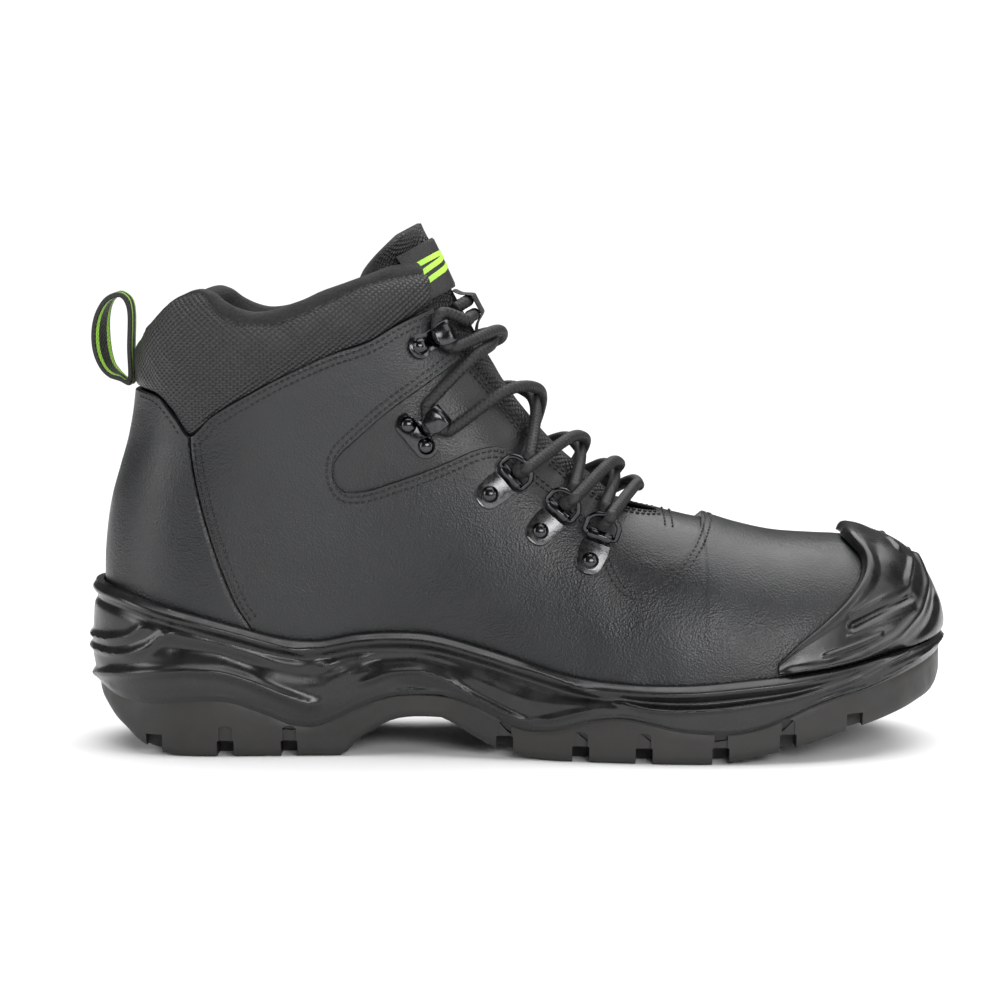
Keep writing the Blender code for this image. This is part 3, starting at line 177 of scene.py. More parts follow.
def half_width(x, z):
    """Half the last's width at its widest, with the heel and toe rounded off."""
    fade = np.clip((30 - x) / 75, 0, 1)
    width = FOOT(x) + FLARE(z) * fade * fade * (3 - 2 * fade)
    heel = np.clip((x - HEEL_BACK(z)) / HEEL_ROUND, 0, 1)
    toe = np.clip((x - TOE_START_X) / (UPPER_TOE_X - TOE_START_X), 0, 1)
    return width * (1 - (1 - heel) ** 2.15) ** (1 / 2.15) * (1 - toe**2.5) ** (1 / 2.2)


def rise(x, z):
    """How far up the last's side a height is, from its base to its ridge."""
    return np.clip((z - BASE(x)) / (RIDGE(x) - BASE(x)), 0, 1)


def half_breadth(x, z):
    """Half the last's width at a height z of the section at x."""
    power = BOXINESS(x)
    return half_width(x, z) * (1 - rise(x, z) ** power) ** (1 / power)


def hull(x, phi):
    """A point on the last's surface."""
    power = BOXINESS(x)
    cos, sin = np.cos(phi), np.sin(phi)
    reach = (np.abs(cos) ** power + np.abs(sin) ** power) ** (1 / power)
    z = BASE(x) + (RIDGE(x) - BASE(x)) * sin / reach
    return np.stack([x + 0 * z, CENTRE(x) - half_width(x, z) * cos / reach, z], -1)


def angle_at(x, z):
    """The lateral angle phi where the section at x has the height z."""
    power = BOXINESS(x)
    height = rise(x, z)
    return np.arctan2(height, (1 - height**power) ** (1 / power))


def field(p):
    """Below 0 inside the last, 0 on its surface and above 0 outside."""
    x, y, z = p[..., 0], p[..., 1], p[..., 2]
    power = BOXINESS(x)
    lift = np.maximum((z - BASE(x)) / (RIDGE(x) - BASE(x)), 0)
    breadth = np.abs(y - CENTRE(x))
    body = (breadth / np.maximum(half_width(x, z), 0.4)) ** power + lift**power - 1
    widest = FOOT(x) + FLARE(z) * np.clip((30 - x) / 75, 0, 1)
    full = widest * np.maximum(1 - lift**power, 1e-4) ** (1 / power)
    back = np.clip(1 - (x - HEEL_BACK(z)) / HEEL_ROUND, 0, None)
    heel = (breadth / np.maximum(full, 0.4)) ** 2.15 + back**2.15 - 1
    return np.where(back > 0, heel, body)


def outward(p):
    """The last's outward unit normal near the points p."""
    step = 0.05
    slopes = [field(p + step * axis) - field(p - step * axis) for axis in np.eye(3)]
    normal = np.stack(slopes, -1)
    return normal / np.linalg.norm(normal, axis=-1, keepdims=True)


def offset(p, distance):
    """Points moved outward from the last."""
    return p + outward(p) * np.asarray(distance, float)[..., None]


def mirrored(p):
    """The same points on the other side of the boot's centre line."""
    q = p.copy()
    q[..., 1] = 2 * CENTRE(p[..., 0]) - p[..., 1]
    return q


def cast(origin, direction, reach=120.0):
    """Where rays from inside the last leave it."""
    near = np.zeros(direction.shape[:-1])
    far = near + reach
    for _ in range(26):
        middle = (near + far) / 2
        inside = field(origin + direction * middle[..., None]) < 0
        near = np.where(inside, middle, near)
        far = np.where(inside, far, middle)
    return origin + direction * near[..., None]


CAP_EDGE = smooth([(0, 59), (17, 58), (30, 52), (36, 45), (42, 40), (50, 35), (58.5, 30), (68, 24.5),
                   (81, 16), (88, 9.5)])
TONGUE_CROWN = smooth([(0, -3.4), (0.3, -2.4), (0.6, -1.8), (0.75, -1.6), (0.88, -0.8), (1, -0.4)])


def sole_plan(x0, x1, widen=0.0, count=28):
    """The sole's outline between two ends, moved outward by widen."""

    def half(x):
        heel = np.clip((x - x0) / 46, 0, 1)
        toe = np.clip((x - TOE_START_X) / (x1 - TOE_START_X), 0, 1)
        ends = (1 - (1 - heel) ** 2.2) ** (1 / 2.2) * (1 - toe**2.5) ** (1 / 2.2)
        return (FOOT(x) + SOLE_WALL + widen) * ends

    return plan(x0, x1, half, count)


def plan(x0, x1, half, count):
    """A closed outline in plan, from the heel along the lateral side to the toe and back."""
    turn = np.pi * np.arange(count + 1) / count
    x = x0 + (x1 - x0) * (1 - np.cos(turn)) / 2
    y = half(x)
    y[0] = y[-1] = 0
    lateral = np.stack([x, CENTRE(x) - y], -1)
    medial = np.stack([x, CENTRE(x) + y], -1)
    return np.concatenate([lateral, medial[-2:0:-1]])


def last_plan(level, clearance, count=28):
    """The last's outline at the height level(x), moved outward by the clearance."""
    turn = np.pi * np.arange(count + 1) / count
    start = float(HEEL_BACK(level(np.array(-147.0)))) + 0.01
    end = UPPER_TOE_X - 0.4
    x = start + (end - start) * (1 - np.cos(turn)) / 2
    z = level(x)
    y = half_breadth(x, z)
    y[0] = y[-1] = 0
    x[-1] += 0.3
    lateral = np.stack([x, CENTRE(x) - y, z], -1)
    normal = outward(lateral)
    normal[0] = (-1, 0, 0)
    normal[-1] = (1, 0, 0)
    normal[:, 2] = 0
    lateral += clearance * normal / np.linalg.norm(normal, axis=1, keepdims=True)
    medial = mirrored(lateral)
    return np.concatenate([lateral[:, :2], medial[-2:0:-1, :2]])


def at_height(outline, height):
    """An outline in plan, lifted to a height z(x)."""
    return np.column_stack([outline, height(outline[:, 0])])


def raised(curve, amount):
    """A curve moved up by a fixed amount."""
    return lambda x: curve(x) + amount


def between(low, high, part):
    """A curve part of the way from one to another."""
    return lambda x: low(x) + (high(x) - low(x)) * part


def constant(value):
    """A curve with one value everywhere."""
    return lambda x: np.full(np.shape(x), float(value))


def underlay_crown(x):
    """A line ahead of the throat that carries the lacing edge on to the ridge."""
    low = UNDERLAY_LOW(x)
    foot = UNDERLAY_LOW(THROAT_X)
    share = (UNDERLAY_TOP(THROAT_X) - foot) / (RIDGE(THROAT_X) - foot)
    return low + (RIDGE(x) - low) * share


def collar_front(z):
    """The collar's front edge, leaning back a little as it rises."""
    return -31.0 - 0.2 * (np.asarray(z, float) - 155)


def collar_share(x):
    """How much of its full padding the collar has: it thins towards its front edges."""
    return 0.45 + 0.55 * np.clip((-31 - x) / 34, 0, 1)


def toe_point(azimuth, elevation):
    """The last's surface seen from the middle of the toe, with both angles in degrees."""
    side, lift = np.radians(azimuth), np.radians(elevation)
    direction = np.stack([np.cos(lift) * np.cos(side), np.cos(lift) * np.sin(side), np.sin(lift)], -1)
    return cast(CAP_HEART, direction)


def rim_elevation(azimuth):
    """The elevation at which the toe's surface meets the midsole's rim."""
    low, high = np.full(len(azimuth), -15.0), np.full(len(azimuth), 40.0)
    for _ in range(20):
        middle = (low + high) / 2
        p = toe_point(azimuth, middle)
        below = p[:, 2] < RIM(p[:, 0]) + 0.6
        low, high = np.where(below, middle, low), np.where(below, high, middle)
    return high


def tongue_frame(share):
    """The ridge point at a share of the tongue's length and the outward direction there."""
    run = smooth([(0, 54), (0.25, 27), (0.45, 8), (0.62, -8), (0.8, -22), (1, -35)])
    x = run(share)
    ridge = np.stack([x, CENTRE(x), RIDGE(x)], -1)
    ahead = np.stack([x + 0.5, CENTRE(x), RIDGE(x + 0.5)], -1)
    along = ahead - ridge
    out = np.stack([-along[..., 2], 0 * x, along[..., 0]], -1)
    return ridge, out / np.linalg.norm(out, axis=-1, keepdims=True)


def tongue_surface(share, turn):
    """Points of the last under the tongue: turn runs from -1, lateral, to 1, medial."""
    ridge, out = tongue_frame(share)
    spread = np.radians(smooth([(0, 36), (0.3, 44), (0.6, 52), (0.8, 68), (1, 82)])(share)) * turn
    heart = ridge - out * 32
    direction = out * np.cos(spread)[..., None]
    direction[..., 1] += np.sin(spread)
    return cast(heart, direction / np.linalg.norm(direction, axis=-1, keepdims=True))


def eased(share):
    """A share that starts and ends gently."""
    share = np.clip(share, 0, 1)
    return share * share * (3 - 2 * share)


def tongue_depth(p, share):
    """How far under the last the tongue's face lies: deep under the facings and the collar."""
    x, z = p[..., 0], p[..., 2]
    breadth = np.abs(p[..., 1] - CENTRE(x))
    beside_facing = eased((z - LACING_EDGE(x)) / 5.5) * eased((46 - x) / 12)
    beside_collar = np.maximum(eased((15.5 - breadth) / 8), eased((z - COLLAR_TOP(x) - 3.5) / 8))
    high = eased((z - 146) / 9)
    clear = beside_facing * (1 - high) + beside_collar * high
    under_collar = -1.6 - 9.4 * collar_share(x) - 1.2
    tucked = -6.8 + np.minimum(under_collar + 6.8, 0) * eased((z - 138) / 12)
    return tucked + (TONGUE_CROWN(share) - tucked) * clear


def seat(rivet, end, side, depth):
    """A frame on the upper: origin at the rivet, t towards the lacing, b towards the toe, n outward."""
    places = []
    for x, z in (rivet, end):
        p = np.array([x, float(CENTRE(x)) + side * float(half_breadth(np.array(x), np.array(z))), z])
        places.append(p)
    n = outward(places[0])
    t = places[1] - places[0]
    t = t - n * (t @ n)
    t = t / np.linalg.norm(t)
    b = np.cross(n, t)
    if b[0] - b[2] < 0:
        b = -b
    return places[0] + n * depth, t, b, n


def placed(frame, local):
    """Points given as (t, b, n) in a frame."""
    origin, t, b, n = frame
    local = np.array(local, float)
    return origin + local[..., :1] * t + local[..., 1:2] * b + local[..., 2:3] * n


def ring_frame(key, side):
    """The seat of a D-ring's clip."""
    return seat(*RINGS[key], side, 0.1)


def hook_frame(key, side):
    """The seat of a lace hook."""
    rivet_at, end, depth, _ = HOOKS[key]
    return seat(rivet_at, end, side, depth + 0.1)


def through_ring(key, side):
    """The lace's turn round the far end of a ring: from over it, down through it and out below."""
    frame = ring_frame(key, side)
    cos, sin = math.cos(RING_TILT), math.sin(RING_TILT)
    path = []
    for turn, shift in zip((50, 90, 135, 180, 225, 270, 310), (1.8, 1.5, 0.8, 0.0, -0.8, -1.5, -1.8)):
        a = math.radians(turn)
        u = RING_REACH + LACE_TURN * math.cos(a)
        v = LACE_TURN * math.sin(a)
        path.append((BAR + u * cos - v * sin, shift, 0.1 + KNUCKLE + u * sin + v * cos))
    return placed(frame, path)


def round_hook(key, side):
    """The lace's turn behind the bend of a hook, from its toe side to the other."""
    frame = hook_frame(key, side)
    half = [(6.0, 6.3, 3.4), (2.4, 5.2, 3.3), (0.4, 2.0, 3.25)]
    return placed(frame, half + [(along, -across, up) for along, across, up in reversed(half)])


def over_ridge(start, end, forward, lifts, shares=(0.25, 0.5, 0.75)):
    """The lace's way over the instep, with its height over the last at the start, middle and end."""
    first, middle, last = lifts
    bend = 2 * middle - (first + last) / 2
    angles = []
    for p in (start, end):
        angle = float(angle_at(np.array(p[0]), np.array(p[2])))
        angles.append(angle if p[1] < CENTRE(p[0]) else math.pi - angle)
    path = []
    for share in shares:
        x = start[0] + (end[0] - start[0]) * share + forward * math.sin(math.pi * share)
        surface = hull(np.array(x), np.array(angles[0] + (angles[1] - angles[0]) * share))
        lift = first * (1 - share) ** 2 + 2 * bend * share * (1 - share) + last * share**2
        path.append(offset(surface, lift))
    return path


def lace_leg(side):
    """One end of the lace: from under the keeper, zigzagging down to the lowest ring."""
    leg = list(lace_tail(side))
    turns = []
    for step, (kind, key) in enumerate(LACE_ORDER):
        here = side if step % 2 == 0 else -side
        turn = through_ring(key, here) if kind == "ring" else round_hook(key, here)
        turns.append(turn[::-1])
    for step, turn in enumerate(turns):
        leg += list(turn)
        if step == len(turns) - 1:
            break
        kind, below = LACE_ORDER[step][0], LACE_ORDER[step + 1][0]
        middle = OVER if (step + (side > 0)) % 2 == 0 else UNDER
        leaving = ABOVE_RING if kind == "ring" else AT_HOOK
        landing = BELOW_RING if below == "ring" else AT_HOOK
        lifts = (leaving, middle, landing)
        leg += over_ridge(turn[-1], turns[step + 1][0], FORWARD[step], lifts)
    return leg


def lace_route():
    """Both ends of the lace, joined by the bar between the lowest rings."""
    first, second = lace_leg(-1), lace_leg(1)
    bar = over_ridge(first[-1], second[-1], 9, (ABOVE_RING, 3.0, ABOVE_RING))
    return np.array(first + bar + second[::-1])


def lace_tail(side):
    """The lace's end, under the keeper and over the tongue to the first hook."""
    share = 0.737 if side < 0 else 0.772
    turns = np.array([-0.36, -0.18, 0.0, 0.18, 0.36, 0.48]) * side
    surface = tongue_surface(np.full(6, share), turns)
    clear = LACE_RADIUS + np.array([3.2, 1.8, 1.4, 2.0, 3.6, 4.8])
    return offset(surface, tongue_depth(surface, np.full(6, share)) + clear)


def grid_faces(columns, rows, first=0, closed=False):
    """Quads over a grid of points, column by column."""
    faces = []
    for c in range(columns - 1):
        for r in range(rows if closed else rows - 1):
            s = (r + 1) % rows
            faces.append((first + c * rows + r, first + (c + 1) * rows + r,
                          first + (c + 1) * rows + s, first + c * rows + s))
    return faces


def sole_middle_y():
    """The middle of the sole's width, which the CAD frame takes as its y = 0."""
    outline = sole_plan(SOLE_HEEL_X, SOLE_TOE_X, 0.7, 28)
    return float((outline[:, 1].min() + outline[:, 1].max()) / 2)


MIDDLE_Y = sole_middle_y()


def on_last(p, rounds=4):
    """The nearest points of the last's surface."""
    step = 0.05
    for _ in range(rounds):
        slopes = np.stack([(field(p + step * a) - field(p - step * a)) / (2 * step) for a in np.eye(3)], -1)
        p = p - slopes * (field(p) / (slopes**2).sum(-1))[..., None]
    return p


# Node materials. Object coordinates are in metres, so a scale of 1000 / size gives marks of that many mm

LOOKS = {}


class Nodes:
    """A material's node tree, with short calls for the nodes that the looks share."""

    def __init__(self, name):
        self.material = bpy.data.materials.new(name)
        self.material.use_nodes = True
        self.tree = self.material.node_tree
        self.shader = self.tree.nodes["Principled BSDF"]
        self.place = self.add("ShaderNodeTexCoord").outputs["Object"]

    def add(self, kind, **settings):
        node = self.tree.nodes.new(kind)
        for key, value in settings.items():
            setattr(node, key, value)
        return node

    def link(self, source, target):
        self.tree.links.new(source, target)

    def math(self, operation, a, b=0.0):
        node = self.add("ShaderNodeMath", operation=operation)
        for socket, value in zip(node.inputs, (a, b)):
            if isinstance(value, (int, float)):
                socket.default_value = value
            else:
                self.link(value, socket)
        return node.outputs[0]

    def noise(self, size, detail=3.0, place=None):
        node = self.add("ShaderNodeTexNoise")
        node.inputs["Scale"].default_value = 1000 / size
        node.inputs["Detail"].default_value = detail
        self.link(place or self.place, node.inputs["Vector"])
        return node.outputs["Fac"]

    def cells(self, size, feature="F1", output="Distance"):
        node = self.add("ShaderNodeTexVoronoi", feature=feature)
        node.inputs["Scale"].default_value = 1000 / size
        self.link(self.place, node.inputs["Vector"])
        return node.outputs[output]

    def spread(self, value, low, high, start=0.3, end=0.7):
        """A value between low and high as the source goes from start to end."""
        node = self.add("ShaderNodeMapRange")
        self.link(value, node.inputs["Value"])
        for socket, number in zip(("From Min", "From Max", "To Min", "To Max"), (start, end, low, high)):
            node.inputs[socket].default_value = number
        return node.outputs["Result"]

    def mix(self, share, first, second):
        node = self.add("ShaderNodeMix", data_type="RGBA")
        self.link(share, node.inputs["Factor"])
        for socket, colour in (("A", first), ("B", second)):
            target = [i for i in node.inputs if i.name == socket and i.type == "RGBA"][0]
            if isinstance(colour, tuple):
                target.default_value = (*colour, 1)
            else:
                self.link(colour, target)
        return [o for o in node.outputs if o.type == "RGBA"][0]

    def bump(self, height, depth, strength=1.0, under=None):
        node = self.add("ShaderNodeBump")
        node.inputs["Strength"].default_value = strength
        node.inputs["Distance"].default_value = depth * MM
        self.link(height, node.inputs["Height"])
        if under is not None:
            self.link(under, node.inputs["Normal"])
        return node.outputs["Normal"]

    def finish(self, name, slot, colour, roughness, normal=None, **values):
        for socket, source in (("Base Color", colour), ("Roughness", roughness), ("Normal", normal)):
            if isinstance(source, tuple):
                self.shader.inputs[socket].default_value = (*source, 1)
            elif isinstance(source, (int, float)):
                self.shader.inputs[socket].default_value = source
            elif source is not None:
                self.link(source, self.shader.inputs[socket])
        for key, value in values.items():
            self.shader.inputs[key.replace("_", " ")].default_value = value
        LOOKS[name] = (self.material, slot)


def leather_look(name, colour, sheen_colour, rough, grain):
    """Smooth full-grain leather: pebbled pores, soft creasing and a dull wax finish."""
    n = Nodes(name)
    patches = n.noise(38, 2)
    tone = n.mix(n.spread(patches, 0, 1), colour, sheen_colour)
    pores = n.cells(0.75)
    fine = n.noise(0.35, 2)
    grainy = n.bump(n.math("ADD", pores, n.math("MULTIPLY", fine, 0.6)), grain)
    normal = n.bump(n.noise(9, 3), 0.22, under=grainy)
    dull = n.spread(n.noise(14, 4), rough - 0.05, rough + 0.07)
    finish = n.math("ADD", dull, n.math("MULTIPLY", pores, 0.05))
    n.finish(name, "leather", tone, finish, normal, Specular_IOR_Level=0.5)


def moulded_look(name, slot, colour, second, rough, grain):
    """Moulded rubber or polyurethane: a skin with faint flow marks and a fine matt texture."""
    n = Nodes(name)
    tone = n.mix(n.spread(n.noise(22, 4), 0, 1), colour, second)
    fine = n.bump(n.noise(0.5, 3), grain)
    normal = n.bump(n.noise(13, 2), 0.25, under=fine)
    n.finish(name, slot, tone, n.spread(n.noise(7, 4), rough - 0.06, rough + 0.09), normal)


def woven_look(name, slot, colour, light, across, along, relief, rough, attribute="cloth"):
    """Plain weave from the piece's own cloth coordinates, in mm: threads cross over and under in turn, with a
    painted highlight on the raised crossings and painted shade in the dips.
    """
    n = Nodes(name)
    cloth = n.add("ShaderNodeAttribute", attribute_name=attribute).outputs["Vector"]
    parts = n.add("ShaderNodeSeparateXYZ")
    n.link(cloth, parts.inputs[0])
    wave = []
    for axis, pitch in ((0, across), (1, along)):
        turned = n.math("MULTIPLY", parts.outputs[axis], math.pi / pitch)
        wave.append(n.math("SINE", turned))
    crossing = n.math("MULTIPLY", wave[0], wave[1])
    thread_height_and_painted_highlight = n.spread(crossing, 0, 1, -0.75, 0.75)
    yarn = n.noise(0.4, 3)
    height = n.math("ADD", thread_height_and_painted_highlight, n.math("MULTIPLY", yarn, 0.35))
    # Painted highlight and shade: the raised crossings take the lighter colour and the dips the darker one,
    # following the weave's height.
    tone = n.mix(thread_height_and_painted_highlight, colour, light)
    n.finish(name, slot, tone, n.spread(yarn, rough - 0.08, rough + 0.1), n.bump(height, relief),
             Sheen_Weight=0.02)


def knit_look(name, slot, colour, light, size, relief, rough, sheen=0.3):
    """Fine knitted cloth, felt or foam: small soft cells."""
    n = Nodes(name)
    cells = n.cells(size)
    tone = n.mix(n.spread(cells, 0, 1, 0.1, 0.7), light, colour)
    normal = n.bump(n.math("ADD", cells, n.noise(size * 3, 2)), relief)
    n.finish(name, slot, tone, n.spread(n.noise(6), rough - 0.05, rough + 0.05), normal, Sheen_Weight=sheen)


def metal_look(name, slot, colour, rough, metallic=1.0, coat=0.0):
    """Plated metal with a fine grain, faint scuffs and an uneven polish."""
    n = Nodes(name)
    wear = n.noise(1.6, 5)
    tone = n.mix(n.spread(wear, 0, 1, 0.35, 0.75), colour, tuple(1.5 * c for c in colour))
    n.finish(name, slot, tone, n.spread(wear, rough - 0.05, rough + 0.1), n.bump(n.noise(0.7, 3), 0.03),
             Metallic=metallic, Coat_Weight=coat)


def make_looks():
    """Every material by name, with colours as linear values and sizes in mm."""
    leather_look("leather_main", (0.0045, 0.0052, 0.006), (0.0085, 0.0096, 0.0108), 0.34, 0.1)
    leather_look("leather_underlay", (0.0045, 0.005, 0.0058), (0.008, 0.0088, 0.0098), 0.31, 0.08)
    moulded_look("polyurethane", "sole", (0.004, 0.004, 0.0043), (0.0065, 0.0065, 0.007), 0.27, 0.02)
    moulded_look("tread_rubber", "rubber", (0.012, 0.0115, 0.0105), (0.018, 0.017, 0.0155), 0.5, 0.05)
    # In the woven looks the second colour is a painted highlight on the raised threads and the first is
    # painted shade in the dips; the lime and label hues themselves are the real yarn and print.
    woven_look("ballistic_mesh", "mesh_fabric", (0.0015, 0.0015, 0.0018), (0.02, 0.0205, 0.022),
               1.25, 0.95, 0.55, 0.42)
    woven_look("webbing_weave", "webbing", (0.003, 0.003, 0.003), (0.012, 0.012, 0.0125), 1.1, 0.8, 0.2, 0.6)
    woven_look("lime_weave", "webbing", (0.25, 0.5, 0.04), (0.45, 0.8, 0.08), 1.1, 0.8, 0.2, 0.6)
    woven_look("label_weave", "label", (0.008, 0.008, 0.009), (0.016, 0.016, 0.017), 0.5, 0.4, 0.08, 0.5)
    woven_look("lime_print", "label", (0.4, 0.75, 0.06), (0.52, 0.88, 0.1), 0.5, 0.4, 0.06, 0.5)
    knit_look("lining_knit", "lining", (0.004, 0.004, 0.0045), (0.013, 0.013, 0.0135), 0.9, 0.14, 0.8, 0.03)
    knit_look("footbed_cloth", "foam", (0.01, 0.01, 0.011), (0.025, 0.025, 0.027), 1.2, 0.15, 0.85, 0.05)
    knit_look("open_foam", "foam", (0.1, 0.1, 0.1), (0.18, 0.18, 0.18), 0.8, 0.2, 0.95, 0.0)
    knit_look("pressed_board", "board", (0.22, 0.19, 0.14), (0.33, 0.29, 0.22), 1.5, 0.05, 0.9, 0.0)
    knit_look("lace_braid", "lace", (0.002, 0.002, 0.0025), (0.011, 0.011, 0.0115), 0.4, 0.12, 0.55, 0.02)
    knit_look("thread", "lace", (0.002, 0.002, 0.0022), (0.006, 0.006, 0.0065), 0.3, 0.03, 0.4, 0.0)
    metal_look("black_nickel", "metal", (0.045, 0.045, 0.048), 0.15)
    metal_look("gunmetal", "clip_metal", (0.085, 0.085, 0.088), 0.24)
    metal_look("bare_steel", "steel", (0.42, 0.42, 0.43), 0.35)


# Making meshes


def add(name, points, faces, look, body="root", stands_for=(), sharp=40, cloth=None, kinds=None, second=None):
    """A piece from points in mm. cloth gives each point's place on its cloth; kinds picks face materials."""
    mesh = bpy.data.meshes.new(name)
    places = (np.asarray(points, float) - [0, MIDDLE_Y, 0]) * MM
    mesh.from_pydata(places.tolist(), [], [[int(v) for v in face] for face in faces])
    if cloth is not None:
        values = mesh.attributes.new("cloth", "FLOAT_VECTOR", "POINT")
        values.data.foreach_set("vector", np.asarray(cloth, np.float32).ravel())
    material, slot = LOOKS[look]
    mesh.materials.append(material)
    if second:
        mesh.materials.append(LOOKS[second][0])
        mesh.polygons.foreach_set("material_index", np.asarray(kinds, np.int32))
    build = bmesh.new()
    build.from_mesh(mesh)
    bmesh.ops.recalc_face_normals(build, faces=build.faces)
    if build.calc_volume(signed=True) < 0:
        bmesh.ops.reverse_faces(build, faces=build.faces)
    build.to_mesh(mesh)
    build.free()
    mesh.shade_smooth()
    mesh.set_sharp_from_angle(angle=math.radians(sharp))
    piece = bpy.data.objects.new(name, mesh)
    bpy.context.scene.collection.objects.link(piece)
    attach(piece, body)
    if stands_for:
        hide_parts(*stands_for)
    return piece


def welded(patches, near=0.03):
    """One sheet from grids that share edges: its points, faces, edge points and edge pairs."""
    build = bmesh.new()
    for patch in patches:
        points = [build.verts.new(p) for p in patch.reshape(-1, 3)]
        for face in grid_faces(*patch.shape[:2]):
            build.faces.new([points[i] for i in face])
    bmesh.ops.remove_doubles(build, verts=build.verts, dist=near)
    loose = [v for v in build.verts if not v.link_faces]
    bmesh.ops.delete(build, geom=loose, context="VERTS")
    build.verts.index_update()
    points = np.array([v.co for v in build.verts])
    faces = [[v.index for v in face.verts] for face in build.faces]
    rim = np.array([v.is_boundary for v in build.verts])
    edges = []
    for edge in build.edges:
        if edge.is_boundary:
            loop = edge.link_loops[0]
            edges.append((loop.vert.index, loop.link_loop_next.vert.index))
    build.free()
    return points, faces, rim, edges


def shell(name, patches, depths, look, rounding=0.45, relief=None, **options):
    """A layer of the upper between two distances from the last, with its cut edge rounded over."""
    points, faces, rim, edges = welded(patches)
    out = outward(points)
    top = np.full(len(points), float(depths[0]))
    if relief is not None:
        top += relief(points) * ~rim
    top[rim] -= rounding
    outer = points + out * top[:, None]
    inner = points + out * depths[1]
    count = len(points)
    closed = faces + [[v + count for v in reversed(face)] for face in faces]
    closed += [[b, a, a + count, b + count] for a, b in edges]
    return add(name, np.concatenate([outer, inner]), closed, look, **options)


def shares(count, ends=(0.0, 0.006, 0.02)):
    """Shares from 0 to 1 with extra ones close to both ends, for rounded edges."""
    ends = np.array(ends)
    return np.concatenate([ends, np.linspace(ends[-1], 1 - ends[-1], count)[1:-1], 1 - ends[::-1]])


def stations(x0, x1, pitch):
    """Evenly spaced places from x0 to x1 with extra ones close to both ends."""
    count = max(3, int(abs(x1 - x0) / pitch))
    near = min(0.02, 1.0 / abs(x1 - x0))
    return x0 + (x1 - x0) * shares(count, (0.0, near * 0.4, near))


def side_patch(x, low, top, rows, side):
    """One side of the last between two edges, with rows at the given shares."""
    start = angle_at(x, low(x))
    end = np.full(len(x), np.pi / 2) if top is None else angle_at(x, top(x))
    phi = start[:, None] + (end - start)[:, None] * rows
    patch = hull(np.repeat(x[:, None], len(rows), axis=1), phi)
    return patch if side < 0 else mirrored(patch)


def rear_patch(columns, low, top, rows, side):
    """The quarter between the heel seam and the tip of the ankle panel."""
    x = QUARTER_BACK_X + (PANEL_TIP_X - QUARTER_BACK_X) * columns
    z = side_patch(x, low, top, rows, -1)[..., 2]
    seam = HEEL_SEAM(z) + 0.25
    x = seam + (PANEL_TIP_X - seam) * columns[:, None]
    patch = np.stack([x, CENTRE(x) - half_breadth(x, z), z], -1)
    return patch if side < 0 else mirrored(patch)


def heel_patch(columns, low, top, rows, front):
    """A patch round the heel, from the lateral front edge to the medial one."""
    turn = np.linspace(-1, 1, columns)
    turn = np.sign(turn) * (1 - (1 - np.abs(turn)) ** 1.15)
    bend = 1 - np.cos(np.abs(turn) * np.pi / 2)
    back = HEEL_BACK(np.array(118.0))
    x = back + (front(np.array(118.0)) - back) * bend
    z = low + (top(x) - low)[:, None] * rows
    x = HEEL_BACK(z) + (front(z) - HEEL_BACK(z)) * bend[:, None]
    y = CENTRE(x) + np.sign(turn)[:, None] * half_breadth(np.maximum(x, HEEL_BACK(z) + 1e-4), z)
    y[columns // 2] = CENTRE(x[columns // 2])
    return np.stack([x, y, z], -1)


def waves(points, size, height, seed=0.0):
    """A smooth unevenness, from a few crossing waves."""
    p = points / size
    total = np.sin(p[:, 0] * 1.7 + p[:, 2] * 1.1 + seed) * np.sin(p[:, 1] * 1.3 - p[:, 2] * 0.9 + seed * 2)
    total += 0.6 * np.sin(p[:, 0] * 3.1 - p[:, 1] * 2.3 + seed * 3) * np.sin(p[:, 2] * 2.7 + seed)
    return total * height


def hump(points, line, height, width):
    """A ridge, or with a negative height a groove, along a run of straight pieces in space."""
    line = np.array(line, float)
    away = np.full(len(points), np.inf)
    for a, b in zip(line, line[1:]):
        along = b - a
        t = np.clip(((points - a) @ along) / (along @ along), 0, 1)
        away = np.minimum(away, np.linalg.norm(points - a - t[:, None] * along, axis=1))
    return height * np.exp(-((away / width) ** 2))


def both_sides(line):
    """A line on the lateral side and its mirror image on the medial one."""
    line = np.array(line, float)
    return line, mirrored(line)


# The upper's leather

FACING_TOP_X = -30.3
LEATHER_TOE_X = 147.6


def creases(points):
    """Soft waves and flex creases over the ball of the foot."""
    flex = np.exp(-(((points[:, 0] - 40) / 26) ** 2)) * np.sin(points[:, 0] / 3.3 + points[:, 2] / 8)
    return waves(points, 21, 0.16) + 0.1 * flex


def vamp_and_quarters():
    """The whole-cut upper leather with its two ankle windows."""
    foot, seam = raised(BASE, 1.0), raised(COLLAR_SEAM, -0.4)
    rear = shares(26, (0.0, 0.01, 0.03))
    tall, tip, upper = shares(44), np.linspace(0, 1, 4), shares(18, (0.0, 0.015, 0.05))
    flanks = np.concatenate([stations(PANEL_TIP_X, 30, 1.5), stations(30, 34, 0.4)[1:],
                             stations(34, ARCH_X, 1.1)[1:]])
    toe = ARCH_X + (LEATHER_TOE_X - ARCH_X) * np.sin(np.linspace(0, np.pi / 2, 60))
    strip = stations(PANEL_TIP_X, STRIP_END_X, 1.5)
    strip_top = smooth([(x, float(min(seam(x), LACING_EDGE(x)) if x > FACING_TOP_X else seam(x)))
                        for x in strip])
    last = side_patch(toe[-1:], foot, None, tall, -1)[0]
    patches = [np.stack([last, mirrored(last)])]
    for side in (-1, 1):
        patches.append(rear_patch(rear, foot, constant(96), tall, side))
        patches.append(rear_patch(rear, constant(96), constant(100.5), tip, side))
        patches.append(rear_patch(rear, constant(100.5), seam, upper, side))
        patches.append(side_patch(flanks, foot, VAMP_EDGE, tall, side))
        patches.append(side_patch(toe, foot, None, tall, side))
        patches.append(side_patch(strip, PANEL_TOP, strip_top, upper, side))
    shell("vamp_leather", patches, (0.0, -1.6), "leather_main", relief=creases, stands_for=["vamp_quarters"])


